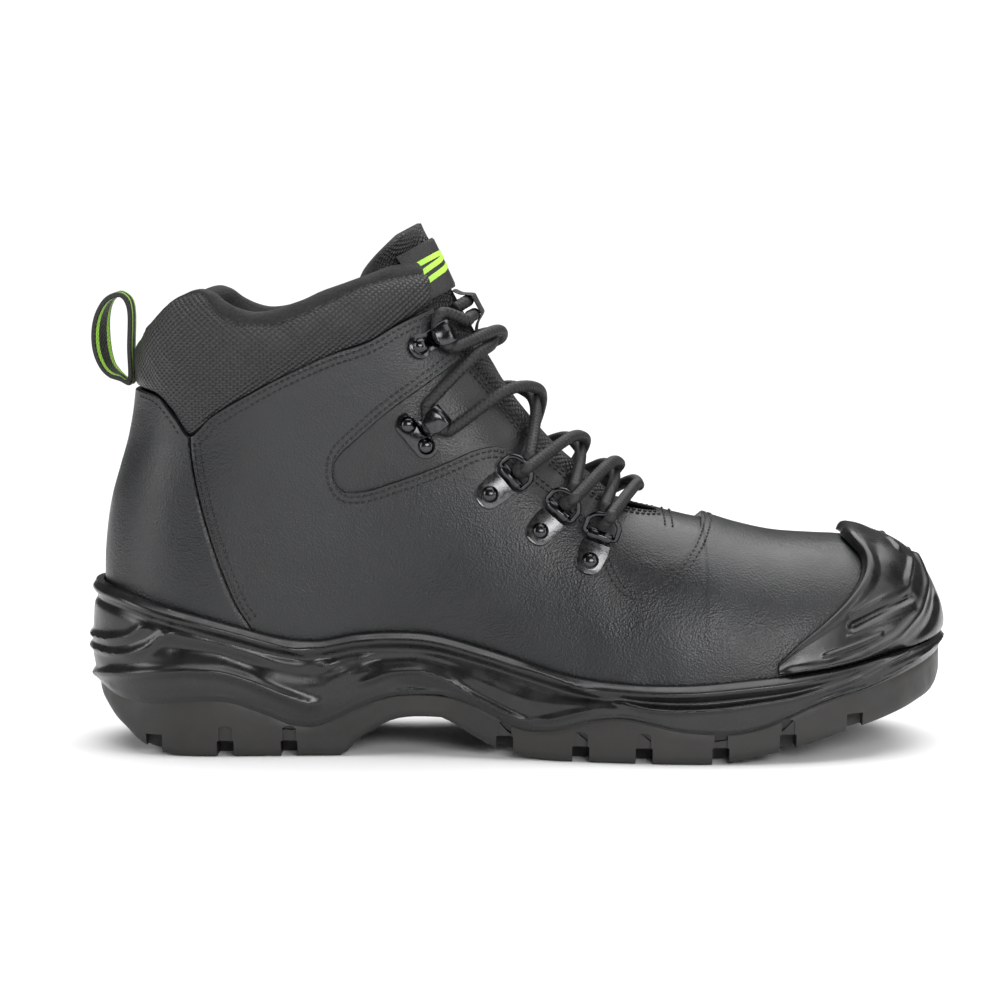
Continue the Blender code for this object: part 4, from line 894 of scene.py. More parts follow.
def underlay():
    """The recessed leather of the ankle windows, the lacing edges and the throat."""
    rows, few = shares(22, (0.0, 0.012, 0.04)), shares(9, (0.0, 0.02, 0.06))
    middle = np.concatenate([stations(-70, 20, 1.6), stations(20, THROAT_X, 1.2)[1:]])
    front = stations(THROAT_X, 69, 1.2)
    patches = []
    for side in (-1, 1):
        patches.append(side_patch(middle, UNDERLAY_LOW, UNDERLAY_TOP, rows, side))
        patches.append(side_patch(front, UNDERLAY_LOW, underlay_crown, rows, side))
        patches.append(side_patch(front, underlay_crown, None, few, side))
    shell("underlay_leather", patches, (-2.0, -3.2), "leather_underlay",
          relief=lambda p: waves(p, 15, 0.12, 1.0), stands_for=["facing"])


def heel_leather():
    """The cover of the heel, notched into the collar at the top."""
    front = raised(HEEL_SEAM, -0.2)
    patch = heel_patch(91, 29, raised(COLLAR_SEAM, -0.4), shares(48), front)
    shell("heel_leather", [patch], (0.0, -1.6), "leather_main",
          relief=lambda p: waves(p, 24, 0.14, 2.0), stands_for=["heel_cover"])


def lining():
    """The sock of lining cloth inside the upper."""
    foot, edge = raised(BASE, 1.0), raised(LACING_EDGE, -1.5)
    top = raised(COLLAR_SEAM, -3.0)
    rows = np.linspace(0, 1, 19)
    back = np.linspace(-98, FACING_TOP_X, 22)
    middle = np.linspace(FACING_TOP_X, THROAT_X, 26)
    front = THROAT_X + (LEATHER_TOE_X - THROAT_X) * np.sin(np.linspace(0, np.pi / 2, 34))
    patches = [heel_patch(45, 30, top, rows, constant(-98))]
    for side in (-1, 1):
        low = 30 + (foot(back) - 30) * np.clip((back + 98) / 28, 0, 1)
        high = top(back)
        high[-1] = edge(FACING_TOP_X)
        z = low[:, None] + (high - low)[:, None] * rows
        x = np.repeat(back[:, None], len(rows), axis=1)
        patches.append(np.stack([x, CENTRE(x) + side * half_breadth(x, z), z], -1))
        patch = side_patch(middle, foot, edge, rows, side)
        patch[0] = patches[-1][-1]
        arch = side_patch(front, foot, None, np.linspace(0, 1, 20), side)
        patch[-1] = arch[0][: len(rows)]
        patches += [patch, arch]
    patches.append(np.stack([patches[3][-1], patches[6][-1]]))
    shell("lining_cloth", patches, (-4.9, -5.6), "lining_knit", rounding=0.1, stands_for=["lining"])


# Stitching


def resampled(path, pitch):
    """Evenly spaced points along a path."""
    path = np.asarray(path, float)
    run = np.concatenate([[0], np.cumsum(np.linalg.norm(np.diff(path, axis=0), axis=1))])
    count = max(2, int(round(run[-1] / pitch)) + 1)
    places = np.linspace(0, run[-1], count)
    return np.stack([np.interp(places, run, path[:, k]) for k in range(3)], -1)


def softened(path, rounds=3):
    """A path with its corners eased."""
    path = np.array(path, float)
    for _ in range(rounds):
        path[1:-1] = (path[:-2] + 2 * path[1:-1] + path[2:]) / 4
    return path


def frames_along(path):
    """Unit tangents and the last's outward directions along a path."""
    ahead = np.gradient(path, axis=0)
    ahead /= np.linalg.norm(ahead, axis=1, keepdims=True)
    out = outward(path)
    return ahead, out


def beside(path, away, side):
    """A path moved sideways over the last: for one that runs towards the toe, up is positive."""
    ahead, out = frames_along(path)
    across = np.cross(out, ahead) * -side
    return on_last(path + across * away)


def edge_path(curve, x0, x1, side):
    """A line on the last that follows a curve z(x)."""
    x = np.linspace(x0, x1, max(8, int(abs(x1 - x0))))
    z = curve(x)
    return np.stack([x, CENTRE(x) + side * half_breadth(x, z), z], -1)


def seam_path(z0, z1, side):
    """The heel seam, from its top to its foot."""
    z = np.linspace(z0, z1, 40)
    x = HEEL_SEAM(z)
    return np.stack([x, CENTRE(x) + side * half_breadth(x, z), z], -1)


STITCH = (1.6, 0.36, 0.36)
STITCH_PITCH = 2.2


def stitch_shape():
    """One stitch: rings of (along, across, up) from end to end."""
    rings = []
    for t, fat, low in ((-1, 0.35, -0.9), (-0.72, 0.85, -0.1), (0, 1, 0.25), (0.72, 0.85, -0.1),
                        (1, 0.35, -0.9)):
        for turn in np.linspace(0, 2 * np.pi, 7, endpoint=False):
            rings.append((t * STITCH[0] / 2, STITCH[1] * fat * math.cos(turn),
                          STITCH[2] * (fat * math.sin(turn) + low)))
    return np.array(rings)


def stitching(name, rows):
    """Runs of stitches, each a path on the last and the depth of the surface that it is sewn to."""
    shape = stitch_shape()
    strip = grid_faces(5, 7, closed=True) + [[6, 5, 4, 3, 2, 1, 0], [28, 29, 30, 31, 32, 33, 34]]
    points, faces = [], []
    for path, depth in rows:
        path = resampled(path, STITCH_PITCH)
        ahead, out = frames_along(path)
        across = np.cross(out, ahead)
        for p, t, n, s in zip(path, ahead, out, across):
            first = len(points)
            centre = p + n * (depth + 0.12)
            points += list(centre + shape[:, :1] * t + shape[:, 1:2] * s + shape[:, 2:] * n)
            faces += [[first + v for v in face] for face in strip]
    add(name, points, faces, "thread", sharp=80)


def window_edge(side):
    """Round the ankle window: its top edge back to the tip, then its lower edge to the throat."""
    top = edge_path(PANEL_TOP, -22, PANEL_TIP_X, side)
    low = edge_path(VAMP_EDGE, PANEL_TIP_X, 64.3, side)
    return softened(np.concatenate([top, low[1:]]), 6)


def all_stitching():
    """Twin rows along every seam of the leather, and across the throat."""
    main, under = [], []
    for side in (-1, 1):
        for away in (1.6, 3.7):
            main.append((beside(seam_path(107.5, 47, side), away, side), 0.0))
            main.append((beside(edge_path(COLLAR_SEAM, -112, -32, side), -away - 0.4, side), 0.0))
            main.append((beside(window_edge(side), -away, side), 0.0))
            edge = beside(edge_path(LACING_EDGE, -20, 47, side), -away, side)
            under.append((edge, -2.0))
        main.append((beside(edge_path(COLLAR_SEAM, -132, -116.5, side), -2.4, side), 0.0))
    for x in (51.0, 53.6):
        phi = np.linspace(1.2, np.pi - 1.2, 24)
        under.append((hull(np.full(24, x), phi), -2.0))
    stitching("upper_stitching", main)
    stitching("underlay_stitching", under)


# The sole

SOLE_COUNT = 150
PARTING = smooth([(-152, 24.5), (-141, 20.5), (-126.7, 18.9), (-113.6, 20), (-101, 19.6), (-94, 17.3),
                  (-86.7, 14.5), (-79.5, 11.4), (-72.3, 10.7), (-65, 13), (-57.8, 16.6), (-50.5, 19.6),
                  (-43.3, 21.5), (-31.9, 21.9), (-21.7, 20.6), (-11.9, 16.6), (-2, 11.8), (4.5, 10.6),
                  (11, 10.9), (24, 14.2), (34, 15.3), (43.6, 13.9), (53.2, 11.8), (69.2, 10.8),
                  (81, 12.5), (90, 15.6), (98.4, 19), (107, 21.8), (118.6, 24.6), (128, 27.8),
                  (139.5, 32), (150, 36)])

# Ridges of the sole's wall: points (x, z), height and width
WALL_RIDGES = [
    ([(-153, 24), (-142, 27.5), (-128, 29.4), (-115, 30.6), (-103, 30), (-94, 27.2), (-86, 23.6),
      (-72.6, 18.2)], 1.5, 2.0),
    ([(-153, 39), (-144, 39.3), (-135.6, 41.1), (-130.5, 44.8)], 1.1, 1.3),
    ([(-153, 35), (-144, 34.5), (-135.6, 34.9), (-128.3, 38.2), (-121.8, 43.3)], 1.1, 1.4),
    ([(-80, 38), (-71, 33.6), (-62.4, 28.6)], 0.9, 1.1),
    ([(-52, 26.5), (-46.4, 29.7), (-34.7, 30.4), (-25, 27), (-17.4, 22.4), (-8, 18), (-0.3, 14.3)], 1.0, 1.3),
    ([(2, 32.6), (14.4, 28.6), (23.9, 24.5), (33.7, 21.4), (43.5, 19.2), (52.9, 18.8), (68.8, 19.7),
      (80.7, 21.4), (92.4, 23), (104.6, 25.7), (116.7, 29.5), (126.3, 33.2), (134, 36)], 1.0, 1.1),
    ([(8.3, 14.3), (21.2, 18.2)], 0.8, 1.0),
]
WALL_HOLLOWS = [
    ([(-118, 37.5), (-105, 36), (-92, 31)], 1.3, 4.5),
    ([(-50, 34), (-36, 34.5), (-22, 31)], 0.9, 2.2),
    ([(-40, 25.5), (-28, 23.5)], 0.7, 2.4),
]


def bell(distance, width):
    """1 on a line, falling off smoothly with the distance from it."""
    return np.exp(-((distance / width) ** 2))


def wall_relief(points):
    """How far the sole's wall stands out beyond its plain outline."""
    flat = points * np.array([1.0, 0.0, 1.0])
    total = np.zeros(len(points))
    for sign, marks in ((1, WALL_RIDGES), (-1, WALL_HOLLOWS)):
        for line, height, width in marks:
            total += hump(flat, [(x, 0, z) for x, z in line], sign * 1.25 * height, 0.85 * width)
    x, z = points[:, 0], points[:, 2]
    below = RIM(x) - z
    fade = np.clip((118 - x) / 25, 0, 1)
    total += fade * (1.15 * bell(below - 2.6, 1.5) - bell(below - 6.0, 1.5))
    return total + bell(z - PARTING(x) - 1.3, 0.7) * (0.3 + 0.16 * np.sin(x * 5.2 + z))


def sole_wall(rings):
    """Adds the relief to stacked outlines: moves each point outward in plan."""
    moved = rings.copy()
    for k, ring in enumerate(rings):
        ahead = np.roll(ring, -1, axis=0) - np.roll(ring, 1, axis=0)
        out = np.stack([ahead[:, 1], -ahead[:, 0]], -1)
        out /= np.maximum(np.linalg.norm(out, axis=1, keepdims=True), 1e-6)
        centre = np.stack([np.clip(ring[:, 0], -100, 95), CENTRE(ring[:, 0])], -1)
        out *= np.sign(((ring[:, :2] - centre) * out).sum(1))[:, None]
        moved[k, :, :2] += out * wall_relief(ring)[:, None]
    return moved


def stacked(name, rings, look, **options):
    """A closed solid through outlines, with the first and last filled across."""
    rings = np.array(rings)
    columns, rows = rings.shape[:2]
    faces = grid_faces(columns, rows, closed=True)
    half = rows // 2
    for first in (0, (columns - 1) * rows):
        for k in range(half):
            a, b = first + k, first + k + 1
            c, d = first + (rows - k - 1) % rows, first + (rows - k) % rows
            faces.append(list(dict.fromkeys((a, b, c, d))))
    return add(name, rings.reshape(-1, 3), faces, look, **options)


def midsole():
    """The moulded polyurethane midsole with its sculpted wall."""
    out = smooth([(0.0, -0.7), (0.1, 0.1), (0.3, 0.45), (0.45, 0.5), (0.62, -0.3), (0.8, -0.2), (0.93, -0.5),
                  (1.0, -1.5)])
    heel = smooth([(0, -150.2), (0.25, -152.0), (0.5, -151.9), (1, -150.6)])
    toe = smooth([(0, 150.9), (0.4, 151.8), (1, 150.9)])
    low = raised(PARTING, 0.15)
    inner = at_height(sole_plan(-147.0, 147.7, -3.0, SOLE_COUNT), raised(DISH, 0.15))
    wall = [at_height(sole_plan(float(heel(s)), float(toe(s)), float(out(s)), SOLE_COUNT),
                      between(low, RIM, s))
            for s in np.linspace(0, 1, 44)]
    cup = at_height(last_plan(RIM, 0.8, SOLE_COUNT), raised(RIM, 0.25))
    floor = at_height(last_plan(raised(BASE, 0.0), 0.8, SOLE_COUNT), raised(BASE, -4.4))
    rings = [inner, *sole_wall(np.array(wall)), cup, floor]
    stacked("midsole_body", rings, "polyurethane", stands_for=["midsole"], sharp=50)


def cutter(name, boxes):
    """Boxes that don't touch each other, as one cutting mesh: each a run of four-cornered rings."""
    points, faces = [], []
    for rings in boxes:
        first = len(points)
        count = len(rings)
        faces += grid_faces(count, 4, closed=True, first=first)
        faces.append([first, first + 1, first + 2, first + 3])
        faces.append([first + (count - 1) * 4 + k for k in (3, 2, 1, 0)])
        points += [p for ring in rings for p in ring]
    mesh = bpy.data.meshes.new(name)
    mesh.from_pydata(((np.array(points) - [0, MIDDLE_Y, 0]) * MM).tolist(), [], faces)
    build = bmesh.new()
    build.from_mesh(mesh)
    bmesh.ops.recalc_face_normals(build, faces=build.faces)
    build.to_mesh(mesh)
    build.free()
    tool = bpy.data.objects.new(name, mesh)
    bpy.context.scene.collection.objects.link(tool)
    return tool


def cut_ring(x, y0, y1, top):
    """One four-cornered section of a cutter that starts below the tread."""
    return [(x, y0, -4.0), (x, y1, -4.0), (x, y1, top), (x, y0, top)]


def tread_cutters():
    """Notches and draft recesses in the edge, lengthwise channels and cross grooves under the sole."""
    notches, recesses = [], []
    for x in NOTCH_X:
        middle, wall = float(CENTRE(x)), float(FOOT(x)) + SOLE_WALL
        top = float(TREAD(x)) + 5.6
        for side in (-1, 1):
            y0, y1 = sorted((middle + side * (wall - 13), middle + side * (wall + 6)))
            notches.append([cut_ring(x - 2.9, y0, y1, top), cut_ring(x + 2.9, y0, y1, top)])
            y0, y1 = sorted((middle + side * (wall - 1.7), middle + side * (wall + 6)))
            recesses.append([cut_ring(x - 2.3, y0, y1, top + 4.4), cut_ring(x - 1.2, y0, y1, top + 5.2),
                             cut_ring(x + 1.2, y0, y1, top + 5.2), cut_ring(x + 2.3, y0, y1, top + 4.4)])
    channels = []
    for start, end in ((-124, -64), (-4, 118)):
        for side in (-1, 1):
            run = np.linspace(start, end, 24)
            wander = 1.5 * np.sin(run / 4.0)
            channels.append([cut_ring(x, float(CENTRE(x)) + side * 21 + w - 2,
                                      float(CENTRE(x)) + side * 21 + w + 2,
                                      float(TREAD(x)) + 3.6) for x, w in zip(run, wander)])
    bars = []
    for x in (-114, -103, -91, -80, 7.5, 19, 31, 43, 55, 67, 79.5, 91, 102.5):
        middle = float(CENTRE(x))
        ring = [(x + 5 * math.sin(v / 16 * math.pi), middle + v) for v in np.linspace(-17.5, 17.5, 15)]
        bars.append([[(px - 1.5, py, -4.0), (px + 1.5, py, -4.0), (px + 1.5, py, float(TREAD(px)) + 3.0),
                      (px - 1.5, py, float(TREAD(px)) + 3.0)] for px, py in ring])
    return {"notches": notches, "recesses": recesses, "channels": channels, "bars": bars}


def outsole():
    """The rubber outsole: a rounded wall and a cleated tread."""
    rounds = [(-147.4, 148.0, -3.2, 0.0), (-148.3, 149.0, -1.9, 0.35), (-149.0, 149.6, -1.1, 1.2),
              (-149.4, 150.0, -0.7, 2.4)]
    rings = [at_height(sole_plan(x0, x1, widen, SOLE_COUNT), raised(TREAD, up))
             for x0, x1, widen, up in rounds]
    full = sole_plan(-149.5, 150.2, -0.6, SOLE_COUNT)
    top = raised(PARTING, -0.15)
    low = raised(TREAD, 3.2)
    rings += [at_height(full, between(low, top, s)) for s in (0.0, 0.33, 0.66, 0.93)]
    rings.append(at_height(sole_plan(-149.2, 149.9, -0.9, SOLE_COUNT), top))
    rings.append(at_height(sole_plan(-147.6, 148.3, -2.4, SOLE_COUNT), raised(DISH, -0.15)))
    body = stacked("outsole_body", rings, "tread_rubber", stands_for=["outsole"], sharp=32)
    tools = []
    for name, boxes in tread_cutters().items():
        tools.append(cutter("cut_" + name, boxes))
        change = body.modifiers.new(name, "BOOLEAN")
        change.operation, change.solver, change.object = "DIFFERENCE", "EXACT", tools[-1]
    apply_modifiers(body)
    for tool in tools:
        bpy.data.objects.remove(tool)
    body.data.shade_smooth()
    body.data.set_sharp_from_angle(angle=math.radians(32))


def apply_modifiers(piece):
    """Keeps the evaluated mesh, with the piece's modifiers and their settings left out."""
    bpy.context.view_layer.update()
    graph = bpy.context.evaluated_depsgraph_get()
    made = bpy.data.meshes.new_from_object(piece.evaluated_get(graph))
    piece.modifiers.clear()
    piece.data = made


# Marks on the bumper, mirrored on its other side: a line on the last, its height and its width
CAP_MARKS = [
    ([(133, -4, 74), (130.4, -8.5, 64.5)], 1.0, 1.1),
    ([(140, -11, 66), (131.4, -19.8, 56.7)], 1.2, 1.2),
    ([(92, -50, 31), (104.5, -47, 32.4), (116, -41.5, 36), (128, -33.5, 41.5), (136.5, -24, 48.5),
      (142, -13, 57), (143, -2, 66)], 1.5, 1.5),
    ([(108, -46.5, 29.5), (119, -41, 32.5), (131, -31.5, 37.5), (140, -20, 43.5), (145, -8, 51)], -1.1, 2.0),
    ([(112.5, -38.3, 45.5), (122, -31, 49), (132.6, -21.9, 52.4)], -1.8, 1.2),
    ([(111.5, -37, 48.4), (121.5, -29.6, 52.1), (132.2, -20, 55.4)], 0.6, 0.7),
    ([(112, -40, 42.8), (122.5, -33, 46), (133, -24, 49.2)], 0.5, 0.7),
    ([(103.0, -44.0, 36.4), (112, -40, 39), (121.2, -35.2, 42.0)], 0.8, 0.6),
]


def scuff_cap():
    """The bumper over the toe, with a rolled edge, raised folds, a slot and a fine line on each side."""
    azimuth = np.linspace(-87, 87, 150)
    low = rim_elevation(azimuth) + 0.2
    high = np.maximum(CAP_EDGE(np.abs(azimuth)), low + 2)
    share = shares(64, (0.0, 0.004, 0.012))
    elevation = low[:, None] + (high - low)[:, None] * share
    surface = toe_point(np.repeat(azimuth[:, None], len(share), axis=1), elevation)
    flat = surface.reshape(-1, 3)
    fade = 1 - 0.45 * np.abs(azimuth[:, None] / 90) ** 2
    bulk = fade * smooth([(0, 2.6), (0.03, 3.6), (0.12, 4.0), (0.3, 3.5), (0.5, 3.2), (0.75, 3.1), (0.9, 4.2),
                          (0.95, 4.1), (0.985, 2.9), (1, 0.9)])(share)
    folds = np.zeros(len(flat))
    for line, height, width in CAP_MARKS:
        for path in both_sides(line):
            folds += hump(flat, on_last(path), height, width)
    outer = offset(surface, bulk + 0.5 + folds.reshape(bulk.shape))
    inner = offset(surface, np.full(bulk.shape, 1.2))
    rings = np.concatenate([outer, inner[:, ::-1]], axis=1)
    count, around = rings.shape[:2]
    faces = grid_faces(count, around, closed=True)
    faces += [list(range(around)), [(count - 1) * around + r for r in reversed(range(around))]]
    add("toe_bumper", rings.reshape(-1, 3), faces, "polyurethane", stands_for=["scuff_cap"], sharp=60)


# Soft goods


MESH_EDGE = smooth([(-137, 141), (-131, 148), (-125, 155), (-119, 159.5), (-114.4, 160), (-105.4, 152.9),
                    (-99.9, 149.8), (-94, 149.1), (-89, 149.1), (-83.4, 149.8), (-80.6, 151), (-74.4, 153.2),
                    (-67.5, 156.3), (-60.6, 159.5), (-48, 163.5), (-31, 166)])
CREASE = 0.89


def remapped(share, low, top, x):
    """Shares of the collar's height with the crease moved to the upper edge of the mesh fabric."""
    crease = np.clip((MESH_EDGE(x) - low) / (top - low), 0.6, 0.96)[:, None]
    below = share * crease / CREASE
    above = crease + (share - CREASE) * (1 - crease) / (1 - CREASE)
    return np.where(share < CREASE, below, above)


def around_collar(profile, columns):
    """A padded section carried round the top of the boot."""
    share, depth = profile[None, :, 0], profile[:, 1]
    turn = np.linspace(-1, 1, columns)
    bend = 1 - np.cos(np.abs(turn) * np.pi / 2)
    x = -135.6 + (-31 + 135.6) * bend
    low, top = COLLAR_SEAM(x) + 0.9, COLLAR_TOP(x)
    share = remapped(share, low, top, x)
    z = low[:, None] + (top - low)[:, None] * share
    x = HEEL_BACK(z) + (collar_front(z) - HEEL_BACK(z)) * bend[:, None]
    y = CENTRE(x) + np.sign(turn)[:, None] * half_breadth(np.maximum(x, HEEL_BACK(z) + 1e-4), z)
    y[columns // 2] = CENTRE(x[columns // 2])
    surface = np.stack([x, y, z], -1)
    depth = np.where(depth < -1.6, -1.6 + (depth + 1.6) * collar_share(x), depth + 0 * x)
    return surface, depth


def rounded_profile(points, count):
    """A closed smooth outline through the points, evenly spaced by their order."""
    points = np.array(points, float)
    places = np.linspace(0, len(points), count, endpoint=False)
    i = places.astype(int)
    t = (places - i)[:, None]
    p = [points[(i + k) % len(points)] for k in (-1, 0, 1, 2)]
    return 0.5 * (2 * p[1] + (p[2] - p[0]) * t + (2 * p[0] - 5 * p[1] + 4 * p[2] - p[3]) * t**2
                  + (3 * p[1] - p[0] - 3 * p[2] + p[3]) * t**3)


def collar():
    """The padded collar: woven mesh outside, and lining rolled over the top and down the inside."""
    section = [(-0.01, -1.5), (0.03, 0.1), (0.18, 1.3), (0.42, 2.0), (0.66, 1.9), (0.84, 0.9), (0.89, -0.25),
               (0.95, -0.5), (1.0, -2.2), (1.01, -4.6), (0.98, -7.4), (0.86, -9.8), (0.62, -10.9),
               (0.3, -10.2),
               (0.0, -8.2), (-0.02, -5.0)]
    profile = rounded_profile(section, 80)
    columns = 181
    surface, depth = around_collar(profile, columns)
    flat = surface.reshape(-1, 3)
    folds = waves(flat, 7, 0.35, 1.5) + waves(flat, 3.4, 0.16, 0.4)
    padded = smooth([(0, 0), (0.2, 1), (0.8, 1), (1, 0.4)])(np.clip(profile[:, 0], 0, 1))
    points = offset(surface, depth + folds.reshape(depth.shape) * padded)
    count, around = points.shape[:2]
    faces = grid_faces(count, around, closed=True)
    fabric = np.arange(around) / around * len(section)
    kinds = [0 if fabric[k % around] < 6.2 else 1 for k in range(len(faces))]
    faces += [list(range(around)), [(count - 1) * around + r for r in reversed(range(around))]]
    kinds += [0, 0]
    run = np.concatenate([[0], np.cumsum(np.linalg.norm(np.diff(points[:, 20], axis=0), axis=1))])
    rise = np.cumsum(np.linalg.norm(np.diff(points, axis=1, prepend=points[:, :1]), axis=2), axis=1)
    rise += points[:, 20:21, 2] - rise[:, 20:21]
    cloth = np.stack([np.repeat(run[:, None], around, axis=1), rise, 0 * rise], -1)
    piece = add("collar_padding", points.reshape(-1, 3), faces, "ballistic_mesh", cloth=cloth.reshape(-1, 3),
                kinds=kinds, second="lining_knit", stands_for=["collar", "collar_foam"], sharp=180)


def sheet_of(surface, top, bottom, rim=0.0):
    """Points and faces of a slab between two depths below a grid of the last's points."""
    columns, rows = surface.shape[:2]
    edge = np.zeros((columns, rows))
    edge[0] = edge[-1] = edge[:, 0] = edge[:, -1] = rim
    outer, inner = offset(surface, top - edge), offset(surface, bottom + edge)
    faces = grid_faces(columns, rows)
    count = columns * rows
    back = [[v + count for v in reversed(face)] for face in faces]
    loop = [c * rows for c in range(columns)] + [(columns - 1) * rows + r for r in range(1, rows)]
    loop += [c * rows + rows - 1 for c in range(columns - 2, -1, -1)] + list(range(rows - 2, 0, -1))
    sides = [[a, b, b + count, a + count] for a, b in zip(loop, loop[1:] + loop[:1])]
    return np.concatenate([outer.reshape(-1, 3), inner.reshape(-1, 3)]), faces, back, sides


def cloth_of(points, columns, rows):
    """Each point's place on its cloth, in mm, for both faces of a slab."""
    grid = points[: columns * rows].reshape(columns, rows, 3)
    along = np.cumsum(np.linalg.norm(np.diff(grid, axis=0, prepend=grid[:1]), axis=2), axis=0)
    across = np.cumsum(np.linalg.norm(np.diff(grid, axis=1, prepend=grid[:, :1]), axis=2), axis=1)
    across -= across[:, rows // 2, None]
    one = np.stack([across, along, 0 * along], -1).reshape(-1, 3)
    return np.concatenate([one, one])


def tongue():
    """The padded tongue: woven mesh in front, lining behind and rolled over its edges."""
    columns, rows = 90, 61
    share = np.repeat(shares(columns - 4, (0.0, 0.004, 0.012))[:, None], rows, axis=1)
    columns = len(share)
    turn = np.repeat(shares(rows - 4, (0.0, 0.006, 0.02))[None, :] * 2 - 1, columns, axis=0)
    rows = turn.shape[1]
    surface = tongue_surface(share * (1 - 0.07 * np.abs(turn) ** 2.5), turn)
    face = tongue_depth(surface, share)
    pad = smooth([(0, 3.4), (0.3, 4.8), (0.75, 7.2), (1, 9.0)])(share) * (1 - 0.45 * np.abs(turn) ** 3)
    ribs = np.clip((share - 0.5) / 0.1, 0, 1) * 0.5 * np.exp(-(((np.abs(turn) - 0.5) / 0.05) ** 2))
    uneven = waves(surface.reshape(-1, 3), 6, 0.25, 0.7).reshape(share.shape)
    uneven *= np.clip((share - 0.4) / 0.2, 0, 1)
    top = face - ribs + uneven
    points, faces, back, sides = sheet_of(surface, top, face - 1.2 - pad, 1.2)
    wings = [0 if turn.ravel()[face[0]] ** 2 < 0.55 or share.ravel()[face[0]] < 0.7 else 1 for face in faces]
    kinds = wings + [1] * (len(back) + len(sides))
    piece = add("tongue_padding", points, faces + back + sides, "ballistic_mesh",
                cloth=cloth_of(points, columns, rows), kinds=kinds, second="lining_knit",
                stands_for=["tongue_cover", "tongue_foam", "tongue_lining"],
                sharp=180)


def gussets():
    """The thin folds that join the tongue to the quarters."""
    for name, side in (("gusset_lateral", -1), ("gusset_medial", 1)):
        share = np.repeat(np.linspace(0.02, 0.6, 30)[:, None], 9, axis=1)
        turn = np.repeat(np.linspace(1.07, 1.45, 9)[None, :] * side, 30, axis=0)
        fold = 0.35 * np.sin(np.linspace(0, np.pi, 9))[None, :] + 0.15 * np.sin(share * 30)
        surface = tongue_surface(share, turn)
        points, faces, back, sides = sheet_of(surface, -6.6 + fold, -7.3 + fold, 0.1)
        add(name, points, faces + back + sides, "leather_underlay", stands_for=["tongue_" + name])


LABEL = (0.815, 0.95, 0.5, 0.9, 0.9)
KEEPER = (0.7, 0.81, 0.2, 0.4, 0.9, 5.6)


def patch_on_tongue(start, end, half_turn, columns, rows):
    """A grid on the tongue: its shares along, its turns across and its points."""
    share = np.repeat((start + (end - start) * np.linspace(0, 1, columns))[:, None], rows, axis=1)
    turn = np.repeat(np.linspace(-half_turn, half_turn, rows)[None, :], columns, axis=0)
    return share, turn, tongue_surface(share, turn)


def label():
    """The woven label with a generic mark: two chevrons and a bar."""
    start, end, half_turn, height, thick = LABEL
    share, _, surface = patch_on_tongue(start, end, half_turn, 20, 16)
    lift = tongue_depth(surface, share) + height
    points, faces, back, sides = sheet_of(surface, lift + thick, lift, 0.35)
    add("label_patch", points, faces + back + sides, "label_weave", cloth=cloth_of(points, 20, 16),
        stands_for=["tongue_label"])
    for k, (low, high) in enumerate(((0.26, 0.36), (0.44, 0.54), (0.62, 0.72))):
        rows = 15
        across = np.linspace(-0.75, 0.75, rows)
        bend = 0.12 * (1 - np.abs(across) / 0.75) if k < 2 else 0 * across
        place = np.array([[low], [high]]) + bend[None, :]
        shares_here = start + (end - start) * place
        turns = np.repeat(across[None, :] * half_turn, 2, axis=0)
        surface = tongue_surface(shares_here, turns)
        lift = tongue_depth(surface, shares_here) + height + thick
        points, faces, back, sides = sheet_of(surface, lift + 0.22, lift - 0.2)
        add(f"label_mark_{k + 1}", points, faces + back + sides, "lime_print",
            cloth=cloth_of(points, 2, rows))


def keeper():
    """The webbing band that holds the lace to the tongue."""
    start, end, half_turn, height, thick, arch = KEEPER
    share, _, surface = patch_on_tongue(start, end, half_turn, 36, 14)
    place = (share - start) / (end - start)
    rise = smooth([(0, 0), (0.14, 0.35), (0.3, 1), (0.7, 1), (0.86, 0.35), (1, 0)])(place) * arch
    lift = tongue_depth(surface, share) + height + rise
    points, faces, back, sides = sheet_of(surface, lift + thick, lift, 0.25)
    add("keeper_band", points, faces + back + sides, "webbing_weave", cloth=cloth_of(points, 36, 14),
        stands_for=["lace_keeper"])


def footbed():
    """The removable footbed: a foam slab with a cloth top and a rounded edge."""
    inset = 8.4
    foot = raised(BASE, 0.0)
    rings = []
    for height, pull in ((-0.4, 1.0), (0.2, 0.2), (1.5, 0.0), (3.0, 0.1), (3.9, 0.6), (4.2, 1.8)):
        rings.append(at_height(last_plan(foot, -inset - pull, 90), raised(BASE, height)))
    rings.append(at_height(last_plan(foot, -inset - 14, 90), raised(BASE, 3.9)))
    piece = stacked("footbed_pad", rings, "footbed_cloth", body="footbed", stands_for=["footbed"], sharp=60)


PULL_TWIST = 0.3


